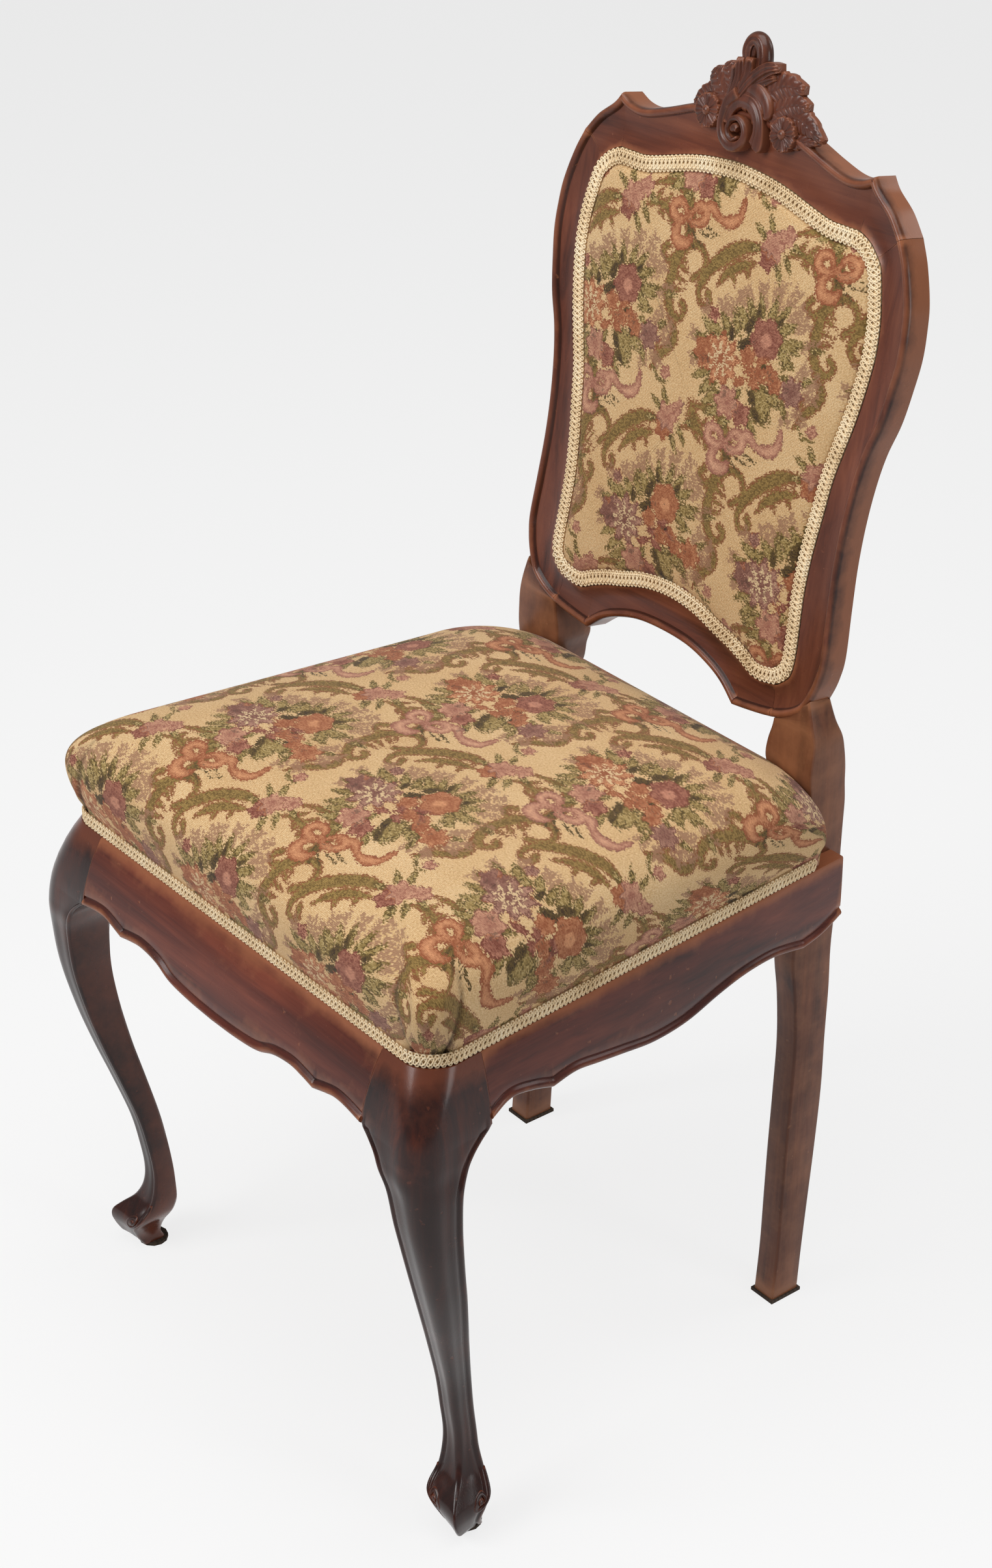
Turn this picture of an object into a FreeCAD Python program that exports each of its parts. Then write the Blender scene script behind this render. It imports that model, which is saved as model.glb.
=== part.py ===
"""Upholstered side chair in the carved French manner, as separate joined pieces.

Millimetres. +Z is up, the chair faces -Y, and +X is the sitter's left. The floor is z = 0,
and the origin is the middle of the chair's footprint. Every shape is first drawn with
y = 0 as the drawing line of the seat and moved onto the origin when it is written.
"""
import FreeCAD, Part
import math
import os

from FreeCAD import Vector

# Driving sizes of the seat frame
seat_height = 430.0            # floor to the top of the show wood, where the gimp lies
seat_front = -277.0            # front line of the seat, on the drawing line's scale
seat_side_end = 157.0          # back end of the side rails
front_half_width = 231.0       # half the seat's width on the front line
back_half_width = 196.0        # half the seat's width at the back end of the side rails
apron_depth = 66.0             # top of the show wood to the lowest point of an apron
rail_thickness = 25.0          # rail thickness at its top edge
bombe_radius = 150.0           # round of a rail's swelling face
bombe_drop = 78.0              # top of the show wood down to the fullest point
side_swell = 15.0              # how far a side rail swells at its front end
side_swell_end = 1.5           # and at its back end
tack_strip = 10.0              # height of the strip above the show wood that takes the tacks
ledge = 4.5                    # step from the show wood's edge in to that strip

# Bead moulding along aprons, legs and back
bead_height = 7.5
bead_swell = 1.8
groove_rise = 1.5

# Front legs
leg_joint_x = 181.0            # joint face between leg and front rail
leg_joint_y = -227.0           # joint face between leg and side rail
foot_x = 217.0                 # middle of a front foot's pad
foot_y = -229.0
knee_forward = 48.0
knee_outward = 12.0
knee_width = 44.0
ear_height = seat_height - 55.0  # where the leg's inner edges run into the aprons
ear_start = ear_height - 40.0    # where they start to spread
leg_bead = 6.5
leg_groove = 1.6
leg_hollow_share = 0.9
head_radius = 29.0             # rounding of the seat's front corner in plan

# Rear legs and posts
rear_leg_outer = 173.5
rear_leg_inner = 151.0
rear_leg_edge = 2.5
post_inner = 124.0             # inner edge where a post is widest
leg_top = seat_height + 11.2   # where a rear leg turns into its post

# Felt pads
pad_height = 3.0
front_pad_radius = 12.5
rear_pad_margin = 1.5

# Back frame, measured along its own slope from the tips of its lowest cusps
back_base_rise = 98.0          # gimp line up to the tips
back_base_height = seat_height + back_base_rise
post_top = back_base_height + 34.0
back_base_y = 126.0
back_rake = 8.44               # degrees
back_half_width_max = 191.0
back_length = 435.7
back_thickness = 24.0
back_bead_width = 7.2
back_bead_side = 4.2
back_groove = 3.6
back_field_dish = 1.1
back_field_edge = 3.2
back_ledge_depth = 6.0
back_ledge_width = 12.0
back_cut_share = 3.0           # reach of the cut that fits the posts under the back

# Upholstery
cloth = 1.2
soft_gap = 0.3
gimp_thickness = 2.5
seat_gimp_width = 11.0
seat_gimp_end = 125.0
seat_crown = 104.0             # gimp line up to the crown of the seat
seat_tongue = 160.0            # back edge of the cover, between the posts
back_gimp_width = 13.0
back_crown = 5.8               # how far the back panel stands proud of the bead
hessian = 1.0
webbing_width = 50.0
webbing_thickness = 1.5
webbing_gap = 0.3
webbing_pitch = 70.0
webbing_columns = 4
webbing_rows = 5
ramp_share = 0.45
outside_border = 10.0
outside_gimp_thickness = 2.0

# Rear seat rail, blocks, dowels and screws
rear_rail_front = 137.0
rear_rail_back = 163.0
rear_rail_drop = 58.0
block_leg = 45.0
block_height = 40.0
block_drop = 6.0
dowel_radius = 4.0
dowel_length = 38.0
dowel_play = 0.15
dowel_spacing = 26.0
screw_radius = 2.0
screw_head_radius = 4.0
screw_head_depth = 2.6
screw_length = 32.0
screw_play = 0.15

# Crest carving
carving_front = 6.0
carving_back = 20.0
flower_radius = 12.0
flower_button = 4.0
scroll_width = 7.0
crook_radius = 8.5
crook_depth_share = 0.35

overrun = 5.0                  # extra length on every cutter
flat_limit = 1e-6               # how far off a plane a wall's fourth corner may lie
half = 0.5
corner_facets = 4              # flats that make up a rounded corner
ridge_facets = 2
rod_facets = 12


def mirrored(shape):
    """The same piece on the other side of the chair."""
    return shape.mirror(Vector(0, 0, 0), Vector(1, 0, 0))


def outline(points):
    """A closed wire of straight edges through the points."""
    return Part.makePolygon(points + points[:1])


def flats(a, b, c, d):
    """The wall between two edges: one face where its corners lie in a plane, or else two."""
    first = b.sub(a).cross(c.sub(a))
    second = c.sub(a).cross(d.sub(a))
    faces = []
    if first.Length > flat_limit and second.Length > flat_limit:
        off = abs(d.sub(a).dot(first)) / first.Length
        if off < flat_limit and first.dot(second) > 0:
            return [Part.Face(outline([a, b, c, d]))]
    if first.Length > flat_limit:
        faces.append(Part.Face(outline([a, b, c])))
    if second.Length > flat_limit:
        faces.append(Part.Face(outline([a, c, d])))
    return faces


def loft(sections):
    """A solid through flat sections with the same count of points, its walls in flats."""
    faces = [Part.Face(outline(sections[0])), Part.Face(outline(sections[-1]))]
    for near, far in zip(sections, sections[1:]):
        for place in range(len(near)):
            faces += flats(near[place - 1], near[place], far[place], far[place - 1])
    shell = Part.makeShell(faces)
    shell.sewShape()
    return Part.Solid(shell.Shells[0])


def plate(points, thickness):
    """A plate on a closed outline; thickness is a vector off its plane."""
    return Part.Face(outline(points)).extrude(thickness)


def prism(points, low, high):
    """An upright block on an outline of plan points."""
    return plate([Vector(x, y, low) for x, y in points], Vector(0, 0, high - low))


def rounding(centre, start, end, facets):
    """Points of a quarter round about centre, from centre + start to centre + end."""
    points = []
    for place in range(facets + 1):
        turn = math.pi * half * place / facets
        points.append(centre.add(start * math.cos(turn)).add(end * math.sin(turn)))
    return points


def box_between(low, high):
    size = high.sub(low)
    return Part.makeBox(size.x, size.y, size.z, low)


def turned(start, direction, stations):
    """A turned piece in flats: stations are (distance along, radius)."""
    axis = Vector(direction)
    axis.normalize()
    aside = axis.cross(Vector(0, 0, 1)) if abs(axis.z) < half else axis.cross(Vector(1, 0, 0))
    aside.normalize()
    other = axis.cross(aside)
    rings = []
    for along, radius in stations:
        middle = start.add(axis * along)
        rings.append([middle.add(aside * (radius * math.cos(2 * math.pi * place / rod_facets)))
                      .add(other * (radius * math.sin(2 * math.pi * place / rod_facets)))
                      for place in range(rod_facets)])
    return loft(rings)


def rod(middle, direction, radius, length):
    """A bar whose middle and axis are given."""
    axis = Vector(direction)
    axis.normalize()
    return turned(middle.sub(axis * (length * half)), direction, [(0, radius), (length, radius)])


def fused(shapes):
    whole = shapes[0].multiFuse(shapes[1:])
    return whole.removeSplitter()


# Plan of the seat
side_slope = (back_half_width - front_half_width) / (seat_side_end - seat_front)


def side_line(y):
    """Half the width of the seat's gimp line at depth y."""
    return front_half_width + side_slope * (y - seat_front)


def swell_share(height):
    """0 at the gimp line and 1 at the fullest height of the swelling face."""
    fullest = seat_height - bombe_drop
    flat = math.sqrt(bombe_radius ** 2 - bombe_drop ** 2)
    here = math.sqrt(bombe_radius ** 2 - (height - fullest) ** 2)
    return (here - flat) / (bombe_radius - flat)


front_swell = bombe_radius - math.sqrt(bombe_radius ** 2 - bombe_drop ** 2)


def front_face(height):
    return seat_front - front_swell * swell_share(height)


def side_face(y, height):
    along = (seat_side_end - y) / (seat_side_end - leg_joint_y)
    swell = side_swell_end + (side_swell - side_swell_end) * along
    return side_line(y) + swell * swell_share(height)


def seat_outline(inset, front_radius, back_y, back_radius, height):
    """Points of a rounded seat outline, front left corner first."""
    slant = math.hypot(1.0, side_slope)
    front_y = seat_front + inset
    front_x = side_line(front_y) - inset * slant
    back_x = side_line(back_y) - inset * slant
    front_centre = Vector(front_x - front_radius + side_slope * front_radius,
                          front_y + front_radius, height)
    back_centre = Vector(back_x - back_radius - side_slope * back_radius,
                         back_y - back_radius, height)
    left = rounding(front_centre, Vector(0, -front_radius, 0), Vector(front_radius, 0, 0),
                    corner_facets)
    left += rounding(back_centre, Vector(back_radius, 0, 0), Vector(0, back_radius, 0),
                     corner_facets)
    return left + [Vector(-point.x, point.y, point.z) for point in reversed(left)]


def seat_slab(inset, low, high):
    """A flat slab of the seat's outline, front corners rounded as the gimp runs."""
    ring = seat_outline(inset, head_radius - inset, seat_side_end, rear_leg_edge, low)
    return plate(ring, Vector(0, 0, high - low))


# Aprons: (place along the rail, drop of the lower edge), both as shares
front_centre_shares = [(0.0, 1.0), (0.166, 0.985), (0.315, 0.94), (0.425, 0.84),
                       (0.536, 0.803), (0.619, 0.826), (0.694, 0.864)]
front_end_shares = [(0.694, 0.864), (0.773, 0.81), (0.834, 0.78), (0.9, 0.788), (1.0, 0.833)]
side_front_shares = [(0.0, 0.758), (0.05, 0.65), (0.105, 0.70), (0.158, 0.803)]
side_centre_shares = [(0.158, 0.803), (0.219, 0.779), (0.281, 0.841), (0.344, 0.909),
                      (0.435, 1.0), (0.53, 1.0), (0.624, 0.898), (0.70, 0.84),
                      (0.771, 0.836), (0.82, 0.876), (0.883, 0.962)]
side_back_shares = [(0.883, 0.962), (0.932, 0.93), (0.974, 0.86), (1.0, 0.80)]


# Section of an apron: the face at shares of its height, then the bead: (height, swell)
apron_face_shares = [1.0, 0.75, 0.5, 0.25, 0.0]
bead_shares = [(1.0, -0.67), (0.84, 0.6), (0.5, 1.0), (0.16, 0.2), (0.0, -1.67)]


def apron_section(place, face, inner, low):
    """Closed section of a rail: swelling face, groove, bead and flat inside.

    place puts (out, height) into space; face gives the outer face at a height.
    """
    top = seat_height
    face_low = low + bead_height + groove_rise
    heights = [face_low + share * (top - face_low) for share in apron_face_shares]
    points = [place(face(height), height) for height in heights]
    points += [place(face(low) + swell * bead_swell, low + up * bead_height)
               for up, swell in bead_shares]
    return points + [place(inner, low), place(inner, top)]


def front_rail_section(x, drop_share):
    def place(out, height):
        return Vector(x, -out, height)

    def face(height):
        return -front_face(height)

    low = seat_height - drop_share * apron_depth
    return apron_section(place, face, -seat_front - rail_thickness, low)


def side_rail_section(along_share, drop_share):
    y = leg_joint_y + along_share * (seat_side_end - leg_joint_y)

    def place(out, height):
        return Vector(out, y, height)

    def face(height):
        return side_face(y, height)

    low = seat_height - drop_share * apron_depth
    return apron_section(place, face, side_line(y) - rail_thickness, low)


def tack_strip_over(piece_box):
    """The strip above the show wood, inside the gimp line, over one piece."""
    strip = seat_slab(ledge, seat_height, seat_height + tack_strip)
    return strip.common(piece_box)


def front_rail():
    centre = [front_rail_section(-x * leg_joint_x, drop) for x, drop in front_centre_shares[:0:-1]]
    centre += [front_rail_section(x * leg_joint_x, drop) for x, drop in front_centre_shares]
    end = loft([front_rail_section(x * leg_joint_x, drop) for x, drop in front_end_shares])
    strip = tack_strip_over(box_between(
        Vector(-leg_joint_x, seat_front - overrun, seat_height),
        Vector(leg_joint_x, seat_front + rail_thickness, seat_height + tack_strip)))
    return fused([loft(centre), end, mirrored(end), strip])


def side_rail(rear_leg_piece):
    """Left side rail: its outer part laps past the rear leg, its core butts against it."""
    lofts = [loft([side_rail_section(along, drop) for along, drop in part])
             for part in (side_front_shares, side_centre_shares, side_back_shares)]
    inner = [(side_line(y) - rail_thickness, y) for y in (leg_joint_y, seat_gimp_end)]
    strip = tack_strip_over(prism(
        [inner[0], (front_half_width, leg_joint_y), (front_half_width, seat_gimp_end), inner[1]],
        seat_height, seat_height + tack_strip))
    rail = fused(lofts + [strip])
    behind = box_between(Vector(0, rear_rail_front, 0),
                         Vector(rear_leg_outer, seat_side_end + overrun, seat_height + apron_depth))
    return rail.cut(behind).cut(rear_leg_piece)


# Front legs: (height, forward, outward, width, ridge radius) as shares, floor to the ears
leg_shares = [
    (0.009, 0.04, 0.12, 0.45, 0.09), (0.0359, 0.2, 0.4, 0.61, 0.06),
    (0.0745, 0.25, 0.42, 0.81, 0.04), (0.113, 0.11, -0.17, 0.74, 0.06),
    (0.1463, -0.02, -0.57, 0.6, 0.08), (0.1938, -0.055, -0.76, 0.505, 0.1),
    (0.2478, -0.045, -0.78, 0.485, 0.11), (0.3222, 0.03, -0.72, 0.48, 0.12),
    (0.4146, 0.145, -0.46, 0.51, 0.13), (0.5315, 0.365, 0.01, 0.6, 0.15),
    (0.6239, 0.54, 0.46, 0.69, 0.16), (0.7099, 0.69, 0.78, 0.75, 0.17),
    (0.7766, 0.79, 0.9, 0.785, 0.18), (0.8511, 0.92, 0.98, 0.85, 0.18),
    (0.9191, 0.965, 1, 0.9, 0.18), (1, 0.985, 0.93, 0.965, 0.19),
]
# Spread of the ears above the knee: (height, spread) as shares of their rise and reach
ear_shares = [(0.4, 0.22), (0.66, 0.42), (0.85, 0.68), (1.0, 0.96)]
# The head: (height, rounding) as shares of its rise to the gimp line and of the corner
head_shares = [(0.0, 0.33), (0.2, 0.55), (0.47, 0.78), (0.74, 0.92), (1.0, 1.0)]


# Bead on a leg's arris: (in from the bead's foot, out from the groove's floor) as shares
leg_bead_shares = [(1.0, 0.0), (0.8, 0.8), (0.5, 1.0), (0.2, 0.8), (0.0, 0.45)]


def leg_section(inner_x, outer_x, front_y, back_y, ridge, height):
    """Square leg section: rounded outer ridge, hollow faces, a bead on each inner arris."""
    hollow = leg_groove * leg_hollow_share

    def at(x, y):
        return Vector(x, y, height)

    front_mid_x = (outer_x - ridge + inner_x + leg_bead) * half
    side_mid_y = (front_y + ridge + back_y - leg_bead) * half
    points = [at(front_mid_x, front_y + hollow)]
    points += [at(inner_x + along * leg_bead, front_y + (1 - out) * leg_groove)
               for along, out in leg_bead_shares]
    points += [at(inner_x, back_y)]
    points += [at(outer_x - (1 - out) * leg_groove, back_y - along * leg_bead)
               for along, out in reversed(leg_bead_shares)]
    points += [at(outer_x - hollow, side_mid_y)]
    return points + rounding(at(outer_x - ridge, front_y + ridge), Vector(ridge, 0, 0),
                             Vector(0, -ridge, 0), ridge_facets)


def front_leg():
    """Left front leg: a cabriole from the foot to the knee, and a head between the rails."""
    sections = []
    for height, forward, outward, width, ridge in leg_shares:
        x = foot_x + outward * knee_outward
        y = foot_y - forward * knee_forward
        reach = width * knee_width * half
        sections.append(leg_section(x - reach, x + reach, y - reach, y + reach,
                                    ridge * knee_width, height * ear_start))
    knee_inner_x = x - reach
    knee_inner_y = y + reach
    for rise, spread in ear_shares:
        height = ear_start + rise * (ear_height - ear_start)
        inner_x = knee_inner_x + spread * (leg_joint_x - knee_inner_x)
        inner_y = knee_inner_y + spread * (leg_joint_y - knee_inner_y)
        sections.append(leg_section(inner_x, side_face(leg_joint_y, height),
                                    front_face(height), inner_y,
                                    head_shares[0][1] * head_radius, height))
    shaft = loft(sections)

    def head_section(rise, round_share):
        height = ear_height + rise * (seat_height - ear_height)
        radius = round_share * head_radius
        outer = side_face(seat_front, height)
        front = front_face(height)
        corner = rounding(Vector(outer - radius, front + radius, height), Vector(radius, 0, 0),
                          Vector(0, -radius, 0), corner_facets)
        return corner + [Vector(leg_joint_x, front, height),
                         Vector(leg_joint_x, leg_joint_y, height),
                         Vector(side_face(leg_joint_y, height), leg_joint_y, height)]

    head = loft([head_section(rise, round_share) for rise, round_share in head_shares])
    strip = tack_strip_over(box_between(
        Vector(leg_joint_x, seat_front - overrun, seat_height),
        Vector(front_half_width + overrun, leg_joint_y, seat_height + tack_strip)))
    return fused([shaft, head, strip])


# Rear legs: (height, front face, back face), heights as shares of the leg's top and faces
# as shares of the leg's depth, from its drawing face
rear_leg_face = 131.0
rear_leg_depth = 37.0
rear_leg_shares = [
    (0.0068, 0, 0.8), (0.1083, 0.06, 0.85), (0.2293, 0.07, 0.93), (0.3312, 0.08, 1),
    (0.4586, 0.11, 1.06), (0.5732, 0.12, 1.04), (0.6752, 0.02, 1.04), (0.7643, -0.14, 1),
    (0.8408, -0.08, 1.03), (0.9172, 0, 1.06), (1, 0.06, 1.06),
]
# Posts: (height above the leg, inner edge, outer edge, front face, back face) as shares
post_shares = [
    (0, 0, 0, 0.06, 1.06), (0.116, 0.33, 0.02, 0.06, 1.05), (0.237, 0.62, 0.02, 0.04, 1.05),
    (0.372, 0.8, 0.03, -0.02, 1), (0.488, 1, 0.04, -0.06, 0.97), (0.605, 0.97, 0.06, -0.05, 0.9),
    (0.721, 0.84, 0.06, -0.03, 0.8), (0.837, 0.76, -0.1, -0.04, 0.66), (1, 0.72, -0.38, -0.02, 0.58),
]


def squared_section(inner, outer, front, back, edge, height):
    """A square section with its four corners taken off."""
    points = [(inner + edge, front), (outer - edge, front), (outer, front + edge),
              (outer, back - edge), (outer - edge, back), (inner + edge, back),
              (inner, back - edge), (inner, front + edge)]
    return [Vector(x, y, height) for x, y in points]


def rear_leg_raw(ease=0.0):
    """Left rear leg and post in one, drawn larger by ease on every side."""
    def depth(share):
        return rear_leg_face + share * rear_leg_depth

    leg = [squared_section(rear_leg_inner - ease, rear_leg_outer + ease, depth(front) - ease,
                           depth(back) + ease, rear_leg_edge, height * leg_top)
           for height, front, back in rear_leg_shares]
    spread = rear_leg_inner - post_inner
    flare = rear_leg_outer - rear_leg_inner
    post = [squared_section(rear_leg_inner - inner * spread - ease,
                            rear_leg_outer + outer * flare + ease, depth(front) - ease,
                            depth(back) + ease, rear_leg_edge,
                            leg_top + height * (post_top - leg_top))
            for height, inner, outer, front, back in post_shares]
    return fused([loft(leg), loft(post)])


# Back frame outlines: (across, up) as shares, from the middle of the crest to the joint,
# along the stile and from its foot to the middle of the lower rail
crest_centre_outer_shares = [(0.0, 1.0), (0.183, 0.994), (0.293, 0.984), (0.445, 0.962),
                             (0.56, 0.949), (0.639, 0.951), (0.705, 0.963)]
crest_centre_gimp_shares = [(0.0, 0.912), (0.157, 0.907), (0.277, 0.898), (0.419, 0.882),
                            (0.518, 0.872), (0.586, 0.871), (0.67, 0.871)]
crest_end_outer_shares = [(0.705, 0.963), (0.743, 0.943), (0.825, 0.916), (0.893, 0.882)]
crest_end_gimp_shares = [(0.67, 0.871), (0.707, 0.865), (0.743, 0.856), (0.783, 0.84)]
stile_outer_shares = [(0.893, 0.882), (0.94, 0.84), (0.982, 0.784), (0.996, 0.74), (1.0, 0.694),
                      (0.987, 0.645), (0.961, 0.58), (0.918, 0.52), (0.893, 0.459),
                      (0.88, 0.39), (0.879, 0.318), (0.89, 0.241), (0.904, 0.16),
                      (0.895, 0.121), (0.873, 0.088), (0.836, 0.055), (0.789, 0.037),
                      (0.728, 0.023), (0.674, 0.015)]
stile_gimp_shares = [(0.783, 0.84), (0.809, 0.824), (0.832, 0.788), (0.854, 0.742),
                     (0.862, 0.689), (0.852, 0.64), (0.827, 0.573), (0.796, 0.515),
                     (0.767, 0.459), (0.749, 0.392), (0.731, 0.323), (0.725, 0.25),
                     (0.738, 0.15), (0.736, 0.116), (0.723, 0.097), (0.702, 0.087),
                     (0.685, 0.081), (0.668, 0.075), (0.649, 0.072)]
foot_outer_shares = [(0.674, 0.015), (0.618, 0.010), (0.56, 0.006), (0.492, 0.002), (0.45, 0.0)]
foot_gimp_shares = [(0.649, 0.072), (0.618, 0.069), (0.571, 0.066), (0.518, 0.068),
                    (0.455, 0.081)]
arch_outer_shares = [(0.45, 0.0), (0.366, 0.029), (0.272, 0.048), (0.15, 0.062), (0.0, 0.066)]
arch_gimp_shares = [(0.455, 0.081), (0.372, 0.095), (0.283, 0.106), (0.147, 0.124),
                    (0.0, 0.131)]


def raked(shape):
    """Lean a shape drawn on the upright back plane and set it on the seat."""
    shape.rotate(Vector(0, 0, 0), Vector(1, 0, 0), -back_rake)
    shape.translate(Vector(0, back_base_y, back_base_height))
    return shape


def back_point(share, depth=0.0):
    across, up = share
    return Vector(across * back_half_width_max, depth, up * back_length)


# Bead of the back frame: (in from the edge, down from its crown) as shares
back_bead_shares = [(0.0, 1.0), (0.1, 0.34), (0.42, 0.0), (0.78, 0.16)]


def back_section(outer_share, gimp_share):
    """Section of the back frame from its bead in to the ledge that takes the cover."""
    outer = back_point(outer_share)
    inward = back_point(gimp_share).sub(outer)
    width = inward.Length
    inward.normalize()

    def at(along, depth):
        return outer.add(Vector(inward.x * along, depth, inward.z * along))

    bead = back_bead_width
    ledge_end = width + back_ledge_width
    points = [at(0, back_thickness)]
    points += [at(along * bead, down * back_bead_side) for along, down in back_bead_shares]
    points += [at(bead, back_groove)]
    points += [at((bead + width) * half, back_groove + back_field_dish)]
    points += [at(width, back_field_edge), at(width, back_ledge_depth)]
    return points + [at(ledge_end, back_ledge_depth), at(ledge_end, back_thickness)]


def across_share(share):
    return (-share[0], share[1])


def back_loft(outer_shares, gimp_shares, through_middle=False):
    pairs = list(zip(outer_shares, gimp_shares))
    if through_middle:
        ends = [pair for pair in pairs if pair[0][0] > 0]
        middle = [pair for pair in pairs if pair[0][0] == 0]
        ends.sort(key=lambda pair: -pair[0][0])
        left = [(across_share(outer), across_share(gimp)) for outer, gimp in reversed(ends)]
        pairs = ends + middle + left
    return loft([back_section(outer, gimp) for outer, gimp in pairs])


def crest_rail():
    centre = back_loft(crest_centre_outer_shares, crest_centre_gimp_shares, True)
    end = back_loft(crest_end_outer_shares, crest_end_gimp_shares)
    return fused([centre, end, mirrored(end)])


def stile():
    return back_loft(stile_outer_shares, stile_gimp_shares)


def lower_back_rail():
    arch = back_loft(arch_outer_shares, arch_gimp_shares, True)
    foot = back_loft(foot_outer_shares, foot_gimp_shares)
    return fused([arch, foot, mirrored(foot)])


def closed_line(*parts):
    """A closed ring of back points from half lists of shares that follow each other."""
    side = []
    for part in parts:
        side += part if not side else part[1:]
    ring = side + [across_share(share) for share in reversed(side[1:-1])]
    return [back_point(share) for share in ring]


gimp_ring = closed_line(crest_centre_gimp_shares, crest_end_gimp_shares, stile_gimp_shares,
                        foot_gimp_shares, arch_gimp_shares)
outer_ring = closed_line(crest_centre_outer_shares, crest_end_outer_shares, stile_outer_shares,
                         foot_outer_shares, arch_outer_shares)


def inset_ring(ring, inset, depth):
    """The ring moved inwards by inset, at a depth behind the front plane."""
    count = len(ring)
    moved = []
    for place, point in enumerate(ring):
        ahead = ring[(place + 1) % count].sub(ring[place - 1])
        ahead.normalize()
        moved.append(Vector(point.x - ahead.z * -inset, depth, point.z + ahead.x * -inset))
    return moved


def drawn_ring(ring, keep_share, depth):
    """The ring drawn in towards the middle of the panel."""
    heights = [point.z for point in ring]
    middle = (max(heights) + min(heights)) * half
    return [Vector(point.x * keep_share, depth, middle + (point.z - middle) * keep_share)
            for point in ring]


def ring_slab(ring, inset, front, back):
    return plate(inset_ring(ring, inset, back), Vector(0, front - back, 0))


# Back panel: the cover rises from the gimp and crowns; (share kept of the ring as it is
# drawn in, share of the rise from the rim to the crown)
panel_crown_shares = [(0.985, 0.22), (0.95, 0.40), (0.80, 0.68), (0.58, 0.88), (0.33, 1.0)]


def panel_dome(shrink, base, sink):
    """The crowned form of the back panel, closed flat at base and sunk below the crown."""
    rim = back_ledge_depth - hessian - cloth
    rise = rim + back_crown
    edge = inset_ring(gimp_ring, soft_gap + back_gimp_width, base)
    keep_all = 1.0 - shrink / (back_half_width_max * half)
    rings = [drawn_ring(edge, keep_all, base)]
    for keep, up in panel_crown_shares:
        rings.append(drawn_ring(edge, keep * keep_all, rim + sink - up * rise))
    return loft(rings)


# Seat cushion: (height, inset, front corner, back line, back corner) as shares of the crown,
# of the crown's draw and of the corner radius
cushion_draw = 130.0
cushion_shares = [
    (0.01, 0.023, 0.93, 0.0, 0.3), (0.11, 0.019, 0.93, 0.0, 0.5), (0.21, -0.008, 0.85, 0.0, 1.0),
    (0.35, -0.031, 0.72, 0.02, 1.5), (0.50, -0.034, 0.66, 0.09, 2.0),
    (0.625, 0.0, 0.72, 0.20, 2.2), (0.73, 0.077, 0.92, 0.32, 2.2),
    (0.825, 0.20, 1.2, 0.46, 2.1), (0.91, 0.42, 1.55, 0.69, 1.9),
    (0.97, 0.69, 1.9, 0.96, 1.6), (1.0, 1.0, 2.0, 1.23, 1.3),
]


def cushion(shrink, drop):
    """The crowned seat form, made smaller by shrink at the sides and drop at the top."""
    rings = []
    for up, draw, front_round, back_draw, back_round in cushion_shares:
        height = seat_height + up * (seat_crown - drop)
        inset = draw * cushion_draw + shrink
        back = seat_tongue - back_draw * cushion_draw - shrink
        rings.append(seat_outline(inset, front_round * head_radius - shrink, back,
                                  back_round * head_radius - shrink, height))
    return loft(rings)


def around_posts(grow):
    """The room that the posts, and the bare rail ends beside them, take from the seat."""
    post = rear_leg_raw(grow)
    beside = box_between(
        Vector(rear_leg_inner - grow, rear_leg_face - grow, seat_height - overrun),
        Vector(front_half_width + overrun, seat_tongue + overrun, post_top))
    left = post.fuse(beside)
    return left, mirrored(left)


def notched(shape, grow):
    left, right = around_posts(grow)
    return shape.cut(left).cut(right)


def seat_soft_parts():
    outer = notched(cushion(0.0, 0.0), soft_gap)
    inner = notched(cushion(cloth, cloth), soft_gap + cloth)
    base = seat_height + tack_strip + 2 * (webbing_thickness + webbing_gap) + hessian + soft_gap
    below = box_between(
        Vector(-front_half_width - overrun, seat_front - overrun, 0),
        Vector(front_half_width + overrun, seat_tongue + overrun, base))
    stuffing = notched(cushion(cloth + soft_gap, cloth + soft_gap),
                       2 * soft_gap + cloth).cut(below)
    cover = outer.cut(inner)
    return cover, stuffing


def seat_gimp():
    low = seat_height
    ring = seat_slab(soft_gap * half, low, low + seat_gimp_width).cut(
        seat_slab(gimp_thickness + soft_gap * half, low, low + seat_gimp_width))
    behind = box_between(Vector(-front_half_width, seat_gimp_end, low - overrun),
                         Vector(front_half_width, seat_side_end + overrun, post_top))
    return ring.cut(behind)


def rear_seat_gimp():
    low = seat_height
    reach = rear_leg_inner - soft_gap
    return box_between(Vector(-reach, seat_tongue, low),
                       Vector(reach, seat_tongue + gimp_thickness, low + seat_gimp_width))


def rear_seat_rail():
    low = seat_height - rear_rail_drop
    body = box_between(Vector(-rear_leg_inner, rear_rail_front, low),
                       Vector(rear_leg_inner, rear_rail_back, seat_height))
    strip = box_between(Vector(-rear_leg_inner, rear_rail_front, seat_height),
                        Vector(rear_leg_inner, seat_tongue - cloth - soft_gap,
                               seat_height + tack_strip))
    return fused([body, strip])


# Corner blocks, screwed to the rails inside each corner
def corner_block_front():
    low = seat_height - block_drop - block_height
    inner_y = seat_front + rail_thickness
    far_y = leg_joint_y + block_leg
    points = [(leg_joint_x - block_leg, inner_y), (leg_joint_x, inner_y),
              (leg_joint_x, leg_joint_y), (side_line(leg_joint_y) - rail_thickness, leg_joint_y),
              (side_line(far_y) - rail_thickness, far_y)]
    return prism(points, low, low + block_height)


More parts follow.
